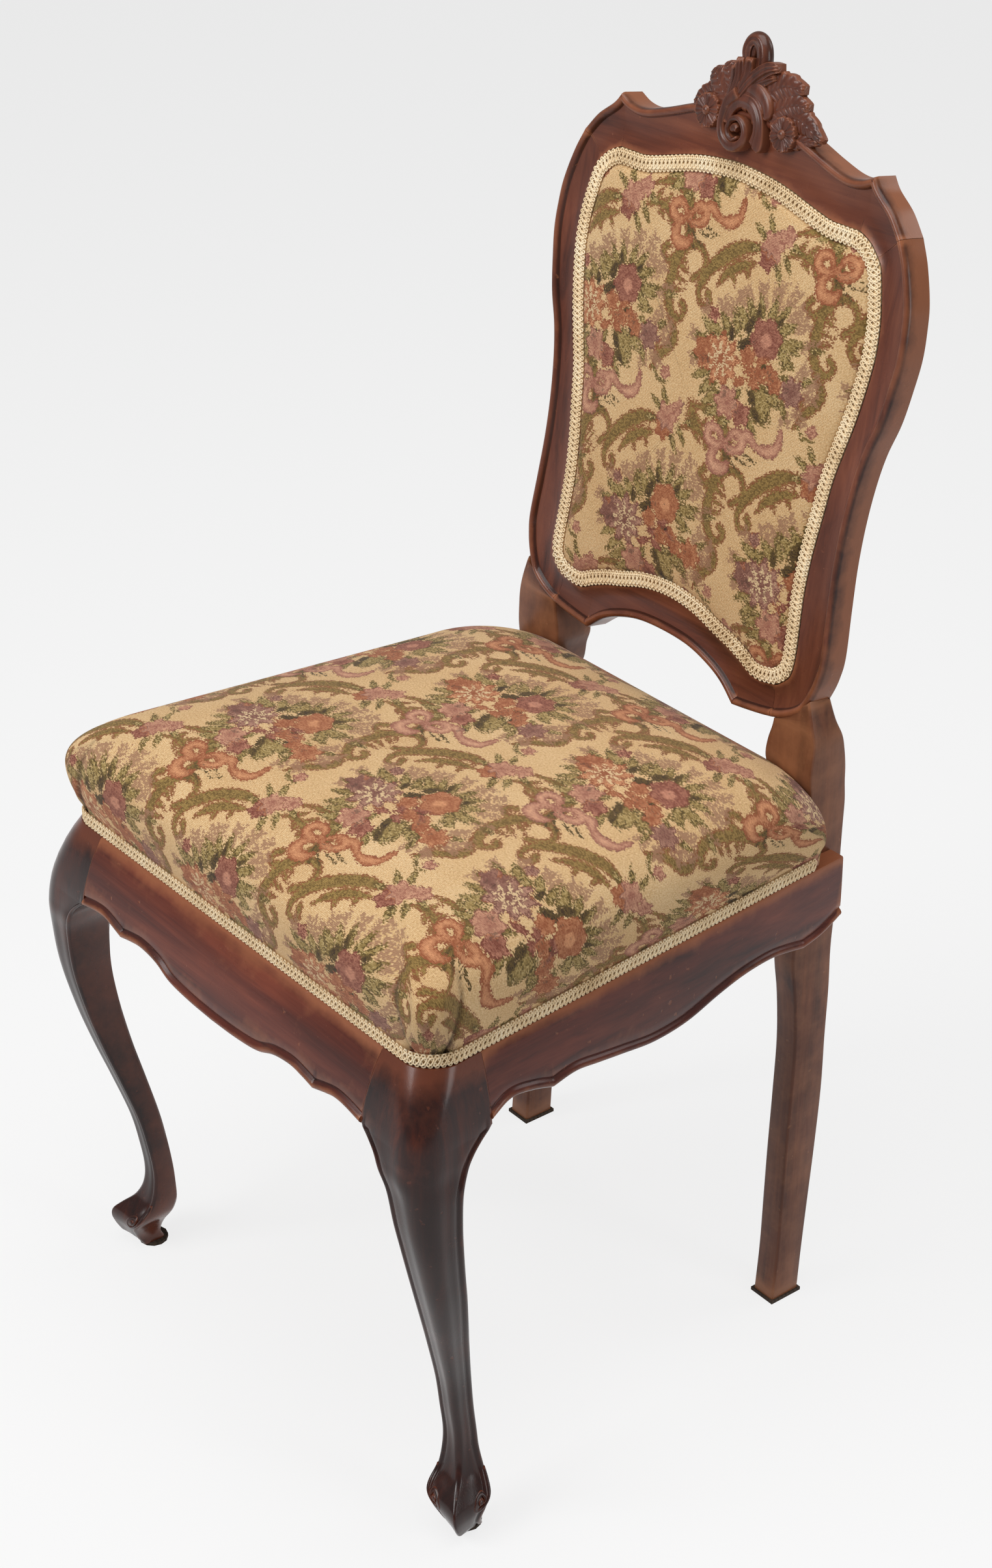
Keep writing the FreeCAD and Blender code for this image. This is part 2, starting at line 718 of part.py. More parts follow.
def corner_block_rear():
    low = seat_height - block_drop - block_height
    front_y = rear_leg_face - block_leg
    leg_front = rear_leg_face + overrun
    points = [(side_line(front_y) - rail_thickness, front_y),
              (side_line(leg_front) - rail_thickness, leg_front),
              (rear_leg_inner, leg_front), (rear_leg_inner, rear_rail_front),
              (rear_leg_inner - block_leg, rear_rail_front)]
    return prism(points, low, low + block_height)


def screw(head_centre, direction, play=0.0):
    """A countersunk screw, or with play the hole that it needs."""
    return turned(head_centre, direction, [
        (0, screw_head_radius + play), (screw_head_depth, screw_radius + play),
        (screw_length + play, screw_radius + play)])


def screw_places():
    """Head centre and direction of the left screws, front block then rear block."""
    height = seat_height - block_drop - block_height * half
    inner_y = seat_front + rail_thickness
    far_y = leg_joint_y + block_leg
    front_a = Vector(leg_joint_x - block_leg, inner_y, height)
    front_b = Vector(side_line(far_y) - rail_thickness, far_y, height)
    rear_a = Vector(side_line(rear_leg_face - block_leg) - rail_thickness,
                    rear_leg_face - block_leg, height)
    rear_b = Vector(rear_leg_inner - block_leg, rear_rail_front, height)
    near_share = 0.3
    places = []
    for start, end, toward_start, toward_end in (
            (front_a, front_b, Vector(0, -1, 0), Vector(1, 0, 0)),
            (rear_b, rear_a, Vector(0, 1, 0), Vector(1, 0, 0))):
        span = end.sub(start)
        near = start.add(Vector(span).multiply(near_share))
        far = start.add(Vector(span).multiply(1 - near_share))
        places.append((near, toward_start))
        places.append((far, toward_end))
    return places


# Dowels of the left half: (middle, direction)
def seat_dowel_places():
    height = seat_height - apron_depth * half
    rail_middle_y = seat_front + rail_thickness * half
    front = [(Vector(leg_joint_x, rail_middle_y, height + up), Vector(1, 0, 0))
             for up in (-dowel_spacing * half, dowel_spacing * half)]
    side_x = side_line(leg_joint_y) - rail_thickness * half
    side = [(Vector(side_x, leg_joint_y, height + up), Vector(0, 1, 0))
            for up in (-dowel_spacing * half, dowel_spacing * half)]
    lap_y = (rear_leg_face + seat_side_end) * half
    back = [(Vector(rear_leg_outer, lap_y, height + up), Vector(1, 0, 0))
            for up in (-dowel_spacing * half, dowel_spacing * half)]
    rear_y = (rear_rail_front + rear_rail_back) * half
    rear = [(Vector(rear_leg_inner, rear_y, height + up), Vector(1, 0, 0))
            for up in (-dowel_spacing * half, dowel_spacing * half)]
    return front, side, back, rear


def back_dowel_places():
    """Dowels across the joints of the back frame, and up from the post into the stile."""
    depth = (back_ledge_depth + back_thickness) * half

    def joint(outer_share, gimp_share):
        outer = back_point(outer_share)
        inward = back_point(gimp_share).sub(outer)
        reach = (inward.Length + back_ledge_width) * half
        inward.normalize()
        middle = Vector(outer.x + inward.x * reach, depth, outer.z + inward.z * reach)
        return middle, Vector(-inward.z, 0, inward.x)

    upper = joint(stile_outer_shares[0], stile_gimp_shares[0])
    lower = joint(stile_outer_shares[-1], stile_gimp_shares[-1])
    post_x = rear_leg_inner + dowel_radius * half
    lobe_share = 0.045
    post = (Vector(post_x, depth, lobe_share * back_length), Vector(0, 0, 1))
    return upper, lower, post


def dowel(place, play=0.0, length=dowel_length):
    middle, direction = place
    return rod(middle, direction, dowel_radius + play, length + 2 * play)


# Webbing: straps over and under each other, their ends on the rails
def strap(ends, centres, over, crosswise, offset):
    """One strap from end to end; over says at which crossings it lies on top."""
    low = seat_height + tack_strip
    lift = webbing_thickness + webbing_gap
    flat = (webbing_width * (1 - ramp_share) + webbing_pitch * ramp_share) * half
    path = [(ends[0], low)]
    for centre, above in zip(centres, over):
        level = low + (lift if above else 0.0)
        path.append((centre - flat, level))
        path.append((centre + flat, level))
    path.append((ends[1], low))
    profile = path + [(along, height + webbing_thickness) for along, height in reversed(path)]
    side = offset - webbing_width * half
    if crosswise:
        corners = [Vector(along, side, height) for along, height in profile]
        return plate(corners, Vector(0, webbing_width, 0))
    corners = [Vector(side, along, height) for along, height in profile]
    return plate(corners, Vector(webbing_width, 0, 0))


def spaced(count, pitch, middle):
    """Even places about a middle."""
    return [middle + (place - (count - 1) * half) * pitch for place in range(count)]


def seat_webbing():
    on_rail_share = 0.7
    on_rail = rail_thickness * on_rail_share
    front = seat_front + rail_thickness - on_rail
    back = rear_rail_front + on_rail
    middle_y = (seat_front + rear_rail_front) * half
    columns = spaced(webbing_columns, webbing_pitch, 0.0)
    rows = spaced(webbing_rows, webbing_pitch, middle_y)
    straps = []
    for place, x in enumerate(columns):
        over = [(place + row) % 2 == 0 for row in range(len(rows))]
        straps.append(strap((front, back), rows, over, False, x))
    for place, y in enumerate(rows):
        over = [(place + column) % 2 == 1 for column in range(len(columns))]
        reach = side_line(y + webbing_width * half) - rail_thickness + on_rail
        straps.append(strap((-reach, reach), columns, over, True, y))
    return Part.makeCompound(straps)


def seat_hessian():
    base = seat_height + tack_strip + 2 * (webbing_thickness + webbing_gap)
    sheet = seat_slab(rail_thickness * half, base, base + hessian)
    behind = box_between(Vector(-front_half_width, rear_leg_face - rear_leg_edge * 2, base - overrun),
                         Vector(front_half_width, seat_side_end + overrun, base + overrun))
    tongue = box_between(
        Vector(-rear_leg_inner + rail_thickness, rear_leg_face - rear_leg_edge * 2, base),
        Vector(rear_leg_inner - rail_thickness, seat_tongue - rail_thickness * half, base + hessian))
    return fused([sheet.cut(behind), tongue])


# Crest carving: outline of the leaves, as shares of the carving's half width and height
carving_half_width = 68.0
carving_height = 88.0
carving_middle = 10.0
carving_rise = 399.0           # tips of the back's cusps up to the foot of the carving
carving_outline_shares = [
    (-0.98, 0.27), (-0.86, 0.47), (-0.73, 0.56), (-0.72, 0.68), (-0.55, 0.70), (-0.49, 0.77),
    (-0.38, 0.71), (-0.36, 0.80), (-0.22, 0.79), (-0.06, 0.78), (0.14, 0.73), (0.26, 0.72),
    (0.27, 0.60), (0.40, 0.52), (0.62, 0.50), (0.58, 0.42), (0.70, 0.38), (0.67, 0.33),
    (1.0, 0.10), (0.55, 0.04), (0.10, 0.02), (-0.35, 0.04), (-0.75, 0.10),
]
# The crook that curls over above the leaves: (across, up, radius) as shares
crook_shares = [(-0.02, 0.70, 0.75), (0.0, 0.80, 0.95), (-0.02, 0.90, 1.0), (-0.10, 0.955, 0.9),
                (-0.20, 0.945, 0.95), (-0.25, 0.88, 0.95), (-0.22, 0.83, 0.5)]
# The rolled scroll between the flowers: (across, up, half width) as shares
scroll_shares = [(-0.55, 0.10, 0.5), (-0.52, 0.32, 0.8), (-0.36, 0.46, 1.0), (-0.14, 0.44, 1.0),
                 (0.02, 0.30, 0.9), (0.03, 0.14, 0.8), (-0.10, 0.05, 0.7), (-0.24, 0.09, 0.6),
                 (-0.27, 0.21, 0.5), (-0.17, 0.27, 0.4)]
flower_places_shares = [(-0.70, 0.27), (0.49, 0.27)]
crook_facets = 8
petal_count = 8
petal_notch_share = 0.78
petal_slope_share = 0.86


def carving_point(share, depth):
    across, up = share
    height = carving_rise + up * carving_height
    return Vector(carving_middle + across * carving_half_width, depth,
                  height / math.cos(math.radians(back_rake)))


def petal_ring(centre, radius, depth):
    """A star of rounded petals round a flower's centre."""
    points = []
    for place in range(2 * petal_count):
        reach = radius if place % 2 == 0 else radius * petal_notch_share
        turn = math.pi * place / petal_count
        points.append(Vector(centre.x + reach * math.cos(turn), depth,
                             centre.z + reach * math.sin(turn)))
    return points


def flower(centre, back, front):
    """A flat flower with a raised button."""
    petals = loft([petal_ring(centre, flower_radius, back),
                   petal_ring(centre, flower_radius, (back + front) * half),
                   petal_ring(centre, flower_radius * petal_slope_share, front)])
    proud = front - carving_front * half
    button = loft([petal_ring(centre, flower_button, back),
                   petal_ring(centre, flower_button, (front + proud) * half),
                   petal_ring(centre, flower_button * petal_notch_share, proud)])
    return petals, button


def band(shares, width, back, front):
    """A raised band that follows a bent line, with sloping sides."""
    middles = [carving_point((across, up), front) for across, up, size in shares]
    sections = []
    for place, (across, up, size) in enumerate(shares):
        ahead = middles[min(place + 1, len(shares) - 1)].sub(middles[max(place - 1, 0)])
        ahead.normalize()
        aside = Vector(-ahead.z, 0, ahead.x) * (width * half * size)
        crown = aside * petal_slope_share * half
        low = Vector(0, back - front, 0)
        middle = middles[place]
        shoulder = Vector(0, (back - front) * half * half, 0)
        sections.append([middle.add(aside).add(low), middle.add(aside).add(shoulder),
                         middle.add(crown), middle.sub(crown),
                         middle.sub(aside).add(shoulder), middle.sub(aside).add(low)])
    return loft(sections)


def crest_carving(crest):
    """Leaves behind, two flowers, a rolled scroll and a crook, carved as one piece."""
    leaf_front = -carving_front * half
    parts = [plate([carving_point(share, carving_back) for share in carving_outline_shares],
                   Vector(0, leaf_front - carving_back, 0))]
    for share in flower_places_shares:
        parts += flower(carving_point(share, leaf_front), carving_back * half,
                        leaf_front - carving_front * half)
    parts.append(band(scroll_shares, scroll_width, carving_back * half,
                      leaf_front - carving_front * half))
    sections = []
    places = [carving_point((across, up), carving_back * crook_depth_share)
              for across, up, size in crook_shares]
    for place, (across, up, size) in enumerate(crook_shares):
        ahead = places[min(place + 1, len(places) - 1)].sub(places[max(place - 1, 0)])
        ahead.normalize()
        aside = Vector(-ahead.z, 0, ahead.x) * (crook_radius * size)
        forward = Vector(0, -crook_radius * size, 0)
        section = []
        for facet in range(crook_facets):
            turn = 2 * math.pi * facet / crook_facets
            section.append(places[place].add(aside * math.cos(turn)).add(forward * math.sin(turn)))
        sections.append(section)
    parts.append(loft(sections))
    return fused(parts).cut(crest)


def build():
    pieces = {}

    # Back frame, on its upright plane
    crest = crest_rail()
    stile_left = stile()
    lower = lower_back_rail()
    upper_joint, lower_joint, post_joint = back_dowel_places()
    frame_dowels = [dowel(upper_joint), dowel(lower_joint)]
    for place in (upper_joint, lower_joint):
        hole = dowel(place, dowel_play)
        stile_left = stile_left.cut(hole)
        crest = crest.cut(hole).cut(mirrored(hole))
        lower = lower.cut(hole).cut(mirrored(hole))
    post_dowel = dowel(post_joint)
    post_hole = dowel(post_joint, dowel_play)
    stile_left = stile_left.cut(post_hole)
    carving = crest_carving(crest)
    frame_dowels.append(post_dowel)
    frame_dowels += [mirrored(one) for one in frame_dowels]
    pieces["crest_rail"] = raked(crest)
    pieces["stile_left"] = raked(stile_left)
    pieces["stile_right"] = mirrored(pieces["stile_left"])
    pieces["lower_back_rail"] = raked(lower)
    pieces["crest_carving"] = raked(carving)
    pieces["back_frame_dowels"] = raked(Part.makeCompound(frame_dowels))

    # Back panel, from the hessian forward, and the outside back behind it
    rim_back = back_ledge_depth - hessian
    rim_front = rim_back - cloth
    edge = soft_gap
    inner_edge = edge + back_gimp_width
    hessian_sheet = ring_slab(gimp_ring, edge, rim_back, back_ledge_depth)
    rim = ring_slab(gimp_ring, edge, rim_front, rim_back)
    dome = panel_dome(0.0, rim_front, 0.0)
    void = panel_dome(cloth, rim_back, cloth)
    pad = panel_dome(cloth + soft_gap, rim_back, cloth + soft_gap)
    gimp = ring_slab(gimp_ring, edge, rim_front - gimp_thickness, rim_front).cut(
        ring_slab(gimp_ring, inner_edge, rim_front - gimp_thickness, rim_front))
    outside_inset = back_ledge_width - outside_border
    outside_back = back_thickness + cloth
    outside = ring_slab(gimp_ring, outside_inset, back_thickness, outside_back)
    outside_gimp = ring_slab(gimp_ring, outside_inset, outside_back,
                             outside_back + outside_gimp_thickness).cut(
        ring_slab(gimp_ring, outside_inset + outside_border, outside_back,
                  outside_back + outside_gimp_thickness))
    pieces["back_hessian"] = raked(hessian_sheet)
    pieces["back_stuffing"] = raked(pad)
    pieces["back_cover"] = raked(fused([rim, dome]).cut(void))
    pieces["back_gimp"] = raked(gimp)
    pieces["outside_back_cover"] = raked(outside)
    pieces["outside_back_gimp"] = raked(outside_gimp)

    # Rear legs, cut off under the back frame
    above = raked(plate(inset_ring(outer_ring, 0.0, -back_thickness),
                        Vector(0, back_cut_share * back_thickness, 0)))
    rear_leg = rear_leg_raw().cut(above).cut(raked(post_hole.copy()))
    rail_left = side_rail(rear_leg)
    rail_rear = rear_seat_rail()
    rail_front = front_rail()
    leg_front = front_leg()

    # Dowels of the seat frame
    front, side, back, rear = seat_dowel_places()
    seat_dowels = []
    for place in front:
        hole = dowel(place, dowel_play)
        rail_front = rail_front.cut(hole).cut(mirrored(hole))
        leg_front = leg_front.cut(hole)
        seat_dowels.append(dowel(place))
    for place in side:
        hole = dowel(place, dowel_play)
        rail_left = rail_left.cut(hole)
        leg_front = leg_front.cut(hole)
        seat_dowels.append(dowel(place))
    for place in back:
        short = rear_leg_outer - rear_leg_inner
        hole = dowel(place, dowel_play, short)
        rail_left = rail_left.cut(hole)
        rear_leg = rear_leg.cut(hole)
        seat_dowels.append(dowel(place, 0.0, short))
    for place in rear:
        short = rear_leg_outer - rear_leg_inner
        hole = dowel(place, dowel_play, short)
        rail_rear = rail_rear.cut(hole).cut(mirrored(hole))
        rear_leg = rear_leg.cut(hole)
        seat_dowels.append(dowel(place, 0.0, short))
    seat_dowels += [mirrored(one) for one in seat_dowels]

    # Corner blocks and their screws
    block_front = corner_block_front()
    block_rear = corner_block_rear().cut(rear_leg)
    screws = []
    for head_centre, direction in screw_places():
        hole = screw(head_centre, direction, screw_play)
        block_front = block_front.cut(hole)
        block_rear = block_rear.cut(hole)
        rail_left = rail_left.cut(hole)
        rail_rear = rail_rear.cut(hole).cut(mirrored(hole))
        rail_front = rail_front.cut(hole).cut(mirrored(hole))
        screws.append(screw(head_centre, direction))
    screws += [mirrored(one) for one in screws]

    pieces["front_leg_left"] = leg_front
    pieces["front_leg_right"] = mirrored(leg_front)
    pieces["rear_leg_left"] = rear_leg
    pieces["rear_leg_right"] = mirrored(rear_leg)
    pieces["front_seat_rail"] = rail_front
    pieces["side_seat_rail_left"] = rail_left
    pieces["side_seat_rail_right"] = mirrored(rail_left)
    pieces["rear_seat_rail"] = rail_rear
    pieces["front_corner_blocks"] = Part.makeCompound([block_front, mirrored(block_front)])
    pieces["rear_corner_blocks"] = Part.makeCompound([block_rear, mirrored(block_rear)])
    pieces["corner_block_screws"] = Part.makeCompound(screws)
    pieces["seat_frame_dowels"] = Part.makeCompound(seat_dowels)

    # Seat upholstery
    pieces["seat_webbing"] = seat_webbing()
    pieces["seat_hessian"] = seat_hessian()
    pieces["seat_cover"], pieces["seat_stuffing"] = seat_soft_parts()
    pieces["seat_gimp"] = seat_gimp()
    pieces["rear_seat_gimp"] = rear_seat_gimp()

    # Felt pads
    front_pad = turned(Vector(foot_x, foot_y, 0), Vector(0, 0, 1),
                       [(0, front_pad_radius), (pad_height, front_pad_radius)])
    pad_depth = rear_leg_shares[0][2] * rear_leg_depth
    rear_pad = box_between(
        Vector(rear_leg_inner - rear_pad_margin, rear_leg_face - rear_pad_margin, 0),
        Vector(rear_leg_outer + rear_pad_margin, rear_leg_face + pad_depth + rear_pad_margin,
               pad_height))
    pieces["front_felt_pads"] = Part.makeCompound([front_pad, mirrored(front_pad)])
    pieces["rear_felt_pads"] = Part.makeCompound([rear_pad, mirrored(rear_pad)])
    return pieces


def main():
    os.makedirs("parts", exist_ok=True)
    pieces = build()
    front = min(pieces[name].optimalBoundingBox().YMin
                for name in ("front_leg_left", "front_seat_rail"))
    back = max(pieces[name].optimalBoundingBox().YMax
               for name in ("outside_back_gimp", "crest_carving"))
    to_origin = Vector(0, -(front + back) * half, 0)
    for name, shape in pieces.items():
        moved = shape.copy()
        moved.translate(to_origin)
        moved.exportStep("parts/" + name + ".step")


main()
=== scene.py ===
"""Carved side chair with a tapestry seat and back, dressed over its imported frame.

Metres. Shapes are drawn in millimetres on the drawing line of the seat, as a chair maker
would set them out, and moved onto the frame's origin when their mesh is made.
"""
import bpy
import math
import numpy as np
from mathutils import Matrix, Vector


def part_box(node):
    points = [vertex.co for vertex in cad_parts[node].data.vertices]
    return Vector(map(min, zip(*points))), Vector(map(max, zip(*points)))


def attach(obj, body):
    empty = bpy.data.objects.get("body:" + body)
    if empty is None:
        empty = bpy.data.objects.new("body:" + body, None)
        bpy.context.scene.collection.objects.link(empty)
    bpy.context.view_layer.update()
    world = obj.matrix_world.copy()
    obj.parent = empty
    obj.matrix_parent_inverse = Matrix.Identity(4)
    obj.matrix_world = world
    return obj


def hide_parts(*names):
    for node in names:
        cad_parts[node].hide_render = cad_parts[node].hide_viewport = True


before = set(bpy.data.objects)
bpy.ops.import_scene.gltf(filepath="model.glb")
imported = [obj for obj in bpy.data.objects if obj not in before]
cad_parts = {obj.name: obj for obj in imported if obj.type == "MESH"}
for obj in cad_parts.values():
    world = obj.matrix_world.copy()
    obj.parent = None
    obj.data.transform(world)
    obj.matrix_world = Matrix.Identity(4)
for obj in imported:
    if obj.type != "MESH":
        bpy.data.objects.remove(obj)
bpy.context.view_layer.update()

# The drawing line of the seat lies this far behind the frame's origin
pad_low, pad_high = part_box("front_felt_pads")
drawing_shift = (pad_low[1] + pad_high[1]) / 2 * 1000 + 229.0


# Camera at the photograph's place and angle
def set_camera():
    azimuth, elevation, roll = (math.radians(v) for v in (50.88, 28.88, 0.87))
    back = np.array([math.sin(azimuth) * math.cos(elevation),
                     -math.cos(azimuth) * math.cos(elevation), math.sin(elevation)])
    right = np.array([math.cos(azimuth), math.sin(azimuth), 0.0])
    up = np.cross(back, right)
    turned_right = math.cos(roll) * right + math.sin(roll) * up
    turned_up = -math.sin(roll) * right + math.cos(roll) * up
    data = bpy.data.cameras.new("camera")
    data.lens = 65.28
    data.sensor_width = 36.0
    data.clip_end = 50.0
    camera = bpy.data.objects.new("camera", data)
    place = Matrix.Identity(4)
    for column, axis in enumerate((turned_right, turned_up, back)):
        for row in range(3):
            place[row][column] = axis[row]
    place.translation = Vector((1.47788, (-1235.64 + drawing_shift) / 1000, 1.52536))
    camera.matrix_world = place
    bpy.context.scene.collection.objects.link(camera)
    bpy.context.scene.camera = camera


set_camera()


# Mesh helpers
def make_mesh(name, points, faces, uvs=None, sharp=35.0):
    """A piece from millimetre points in the drawing, with its place in its mesh."""
    points = np.asarray(points, float).copy()
    points[:, 1] += drawing_shift
    mesh = bpy.data.meshes.new(name)
    mesh.from_pydata((points / 1000).tolist(), [], faces)
    mesh.validate()
    if uvs is not None:
        layer = mesh.uv_layers.new(name="cloth")
        loops = np.empty(len(mesh.loops), np.int64)
        mesh.loops.foreach_get("vertex_index", loops)
        layer.data.foreach_set("uv", np.asarray(uvs, np.float32)[loops].ravel())
    mesh.shade_smooth()
    mesh.set_sharp_from_angle(angle=math.radians(sharp))
    piece = bpy.data.objects.new(name, mesh)
    bpy.context.scene.collection.objects.link(piece)
    return piece


def skin(rings, capped=True):
    """Faces of a tube through rings of the same count; rings is (count, around, 3)."""
    rings = np.asarray(rings, float)
    count, around = rings.shape[:2]
    faces = []
    for a in range(0, (count - 1) * around, around):
        for j in range(around):
            k = (j + 1) % around
            faces.append((a + j, a + k, a + around + k, a + around + j))
    if capped:
        faces.append(tuple(reversed(range(around))))
        faces.append(tuple(range((count - 1) * around, count * around)))
    return rings.reshape(-1, 3), faces


def domed(rings, middle):
    """A skin through rings, closed by a fan of faces at a middle point."""
    points, faces = skin(rings, capped=False)
    around = len(rings[-1])
    last = len(points) - around
    faces += [(last + j, last + (j + 1) % around, len(points)) for j in range(around)]
    return np.vstack([points, middle]), faces


def facing_out(points, faces):
    """The faces, turned round where they enclose less than nothing."""
    total = 0.0
    for face in faces:
        a = points[face[0]]
        for i in range(1, len(face) - 1):
            total += np.dot(a, np.cross(points[face[i]], points[face[i + 1]]))
    return faces if total >= 0 else [tuple(reversed(face)) for face in faces]


def solid(rings):
    points, faces = skin(rings)
    return points, facing_out(points, faces)


def joined(parts):
    """Several (points, faces) as one."""
    points, faces, base = [], [], 0
    for part_points, part_faces in parts:
        points.append(part_points)
        faces += [tuple(base + v for v in face) for face in part_faces]
        base += len(part_points)
    return np.concatenate(points), faces


def mirror_part(part):
    points, faces = part
    return points * (-1.0, 1.0, 1.0), [tuple(reversed(face)) for face in faces]


def unit(directions):
    """Directions, each brought to a length of one."""
    return directions / np.maximum(np.linalg.norm(directions, axis=1), 1e-9)[:, None]


def side_of(line):
    """Unit directions along a flat line of points, and those a quarter turn to their left."""
    ahead = unit(np.gradient(line, axis=0))
    return ahead, np.stack([-ahead[:, 1], ahead[:, 0]], 1)


def smooth_rows(table, steps):
    """Rows of a table joined by a smooth curve, with steps between each two."""
    table = np.asarray(table, float)
    table = np.vstack([2 * table[0] - table[1], table, 2 * table[-1] - table[-2]])
    rows = []
    for p0, p1, p2, p3 in zip(table, table[1:], table[2:], table[3:]):
        for t in np.arange(steps) / steps:
            rows.append(0.5 * ((2 * p1) + (p2 - p0) * t + (2 * p0 - 5 * p1 + 4 * p2 - p3) * t * t
                               + (3 * p1 - p0 - 3 * p2 + p3) * t ** 3))
    rows.append(table[-2])
    return np.array(rows)


def runs(tables, steps):
    """Rows of several tables, each smoothed by itself; they meet at corners."""
    rows = [smooth_rows(table, steps)[:-1] for table in tables]
    return np.vstack([*rows, tables[-1][-1:]])


def with_widths(path, widths):
    """Rows of a path's places, each with its width from an even list of widths."""
    spread = np.interp(np.linspace(0, 1, len(path)), np.linspace(0, 1, len(widths)), widths)
    return np.column_stack([np.array(path, float), spread])


def vertex_places(mesh, kind="co"):
    values = np.empty(len(mesh.vertices) * 3)
    mesh.vertices.foreach_get(kind, values)
    return values.reshape(-1, 3)


def point_values(mesh, name, kind, values):
    """Writes a value for each point of a mesh under a name."""
    layer = mesh.attributes.new(name, kind, "POINT")
    layer.data.foreach_set("vector" if kind == "FLOAT_VECTOR" else "value", np.ravel(values))


def edge_attribute(piece, passes=3):
    """How proud or how hollow each point of a piece lies, from -1 to 1, for wear and grime."""
    mesh = piece.data
    places, normals = vertex_places(mesh), vertex_places(mesh, "normal")
    ends = np.empty(len(mesh.edges) * 2, np.int64)
    mesh.edges.foreach_get("vertices", ends)
    first, second = ends.reshape(-1, 2).T

    def gathered(to_first, to_second):
        """What the edges bring to each point."""
        total = np.zeros((len(places), *np.shape(to_first)[1:]))
        np.add.at(total, first, to_first)
        np.add.at(total, second, to_second)
        return total

    edges = places[second] - places[first]
    length = np.linalg.norm(edges, axis=1)
    degree = np.maximum(gathered(np.ones(len(edges)), 1.0), 1.0)
    reach = gathered(length, length)
    pull = gathered(edges, -edges)
    value = -np.einsum("ij,ij->i", pull, normals) / np.maximum(reach, 1e-9)
    for _ in range(passes):
        value = 0.5 * value + 0.5 * gathered(value[second], value[first]) / degree
    point_values(mesh, "proud", "FLOAT", np.clip(value * 4.0, -1, 1).astype(np.float32))


# Sizes of the chair, in millimetres, on the drawing line of the seat
seat_height = 430.0
seat_front = -277.0
seat_side_end = 157.0
front_half_width = 231.0
back_half_width = 188.0
apron_depth = 66.0
rail_thickness = 25.0
bombe_radius = 150.0
bombe_drop = 78.0
tack_strip = 10.0
ledge = 4.5
leg_joint_x = 181.0
leg_joint_y = -227.0
side_slope = (back_half_width - front_half_width) / (seat_side_end - seat_front)
front_swell = bombe_radius - math.sqrt(bombe_radius ** 2 - bombe_drop ** 2)
back_rake = math.radians(8.44)
back_length = 435.7
back_reach = 191.0
back_thickness = 24.0
# Place of the back frame's foot, at the front of its wood
back_foot_y, back_foot_height = 126.0, 528.0
# The side rail laps the outside of the rear post from lap_start on; its tack strip ends sooner
lap_x, lap_start, strip_end = 174.0, 131.0, 124.0


def at_height(line, height):
    """A plan line set at a height."""
    return np.column_stack([line, np.full(len(line), height)])


def side_line(y):
    return front_half_width + side_slope * (y - seat_front)


def swell_share(height):
    flat = math.sqrt(bombe_radius ** 2 - bombe_drop ** 2)
    rise = np.asarray(height, float) - (seat_height - bombe_drop)
    return (np.sqrt(bombe_radius ** 2 - rise ** 2) - flat) / (bombe_radius - flat)


def front_face(height):
    return seat_front - front_swell * swell_share(height)


def side_face(y, height):
    along = (seat_side_end - y) / (seat_side_end - leg_joint_y)
    return side_line(y) + (1.5 + 13.5 * along) * swell_share(height)


def raked(points):
    """Leans points drawn on the upright back plane and sets them on the seat."""
    out = points.copy()
    c, s = math.cos(back_rake), math.sin(back_rake)
    out[..., 1] = points[..., 1] * c + points[..., 2] * s + back_foot_y
    out[..., 2] = -points[..., 1] * s + points[..., 2] * c + back_foot_height
    return out


# Back frame: outlines of the wood and of the gimp line, as shares of half width and length
crest_centre_outer = [(0.0, 1.0), (0.183, 0.994), (0.293, 0.984), (0.445, 0.962),
                      (0.56, 0.949), (0.639, 0.951), (0.705, 0.963)]
crest_centre_gimp = [(0.0, 0.912), (0.157, 0.907), (0.277, 0.898), (0.419, 0.882),
                     (0.518, 0.872), (0.586, 0.871), (0.67, 0.871)]
crest_end_outer = [(0.705, 0.963), (0.743, 0.943), (0.825, 0.916), (0.893, 0.882)]
crest_end_gimp = [(0.67, 0.871), (0.707, 0.865), (0.743, 0.856), (0.783, 0.84)]
stile_outer = [(0.893, 0.882), (0.94, 0.84), (0.982, 0.784), (0.996, 0.74), (1.0, 0.694),
               (0.987, 0.645), (0.961, 0.58), (0.918, 0.52), (0.893, 0.459),
               (0.88, 0.39), (0.879, 0.318), (0.89, 0.241), (0.904, 0.16),
               (0.895, 0.121), (0.873, 0.088), (0.836, 0.055), (0.789, 0.037),
               (0.728, 0.023), (0.674, 0.015)]
stile_gimp = [(0.783, 0.84), (0.809, 0.824), (0.832, 0.788), (0.854, 0.742),
              (0.862, 0.689), (0.852, 0.64), (0.827, 0.573), (0.796, 0.515),
              (0.767, 0.459), (0.749, 0.392), (0.731, 0.323), (0.725, 0.25),
              (0.738, 0.15), (0.736, 0.116), (0.723, 0.097), (0.702, 0.087),
              (0.685, 0.081), (0.668, 0.075), (0.649, 0.072)]
foot_outer = [(0.674, 0.015), (0.618, 0.010), (0.56, 0.006), (0.492, 0.002), (0.45, 0.0)]
foot_gimp = [(0.649, 0.072), (0.618, 0.069), (0.571, 0.066), (0.518, 0.068), (0.455, 0.081)]
arch_outer = [(0.45, 0.0), (0.366, 0.029), (0.272, 0.048), (0.15, 0.062), (0.0, 0.066)]
arch_gimp = [(0.455, 0.081), (0.372, 0.095), (0.283, 0.106), (0.147, 0.124), (0.0, 0.131)]
back_scale = np.array([back_reach, back_length])


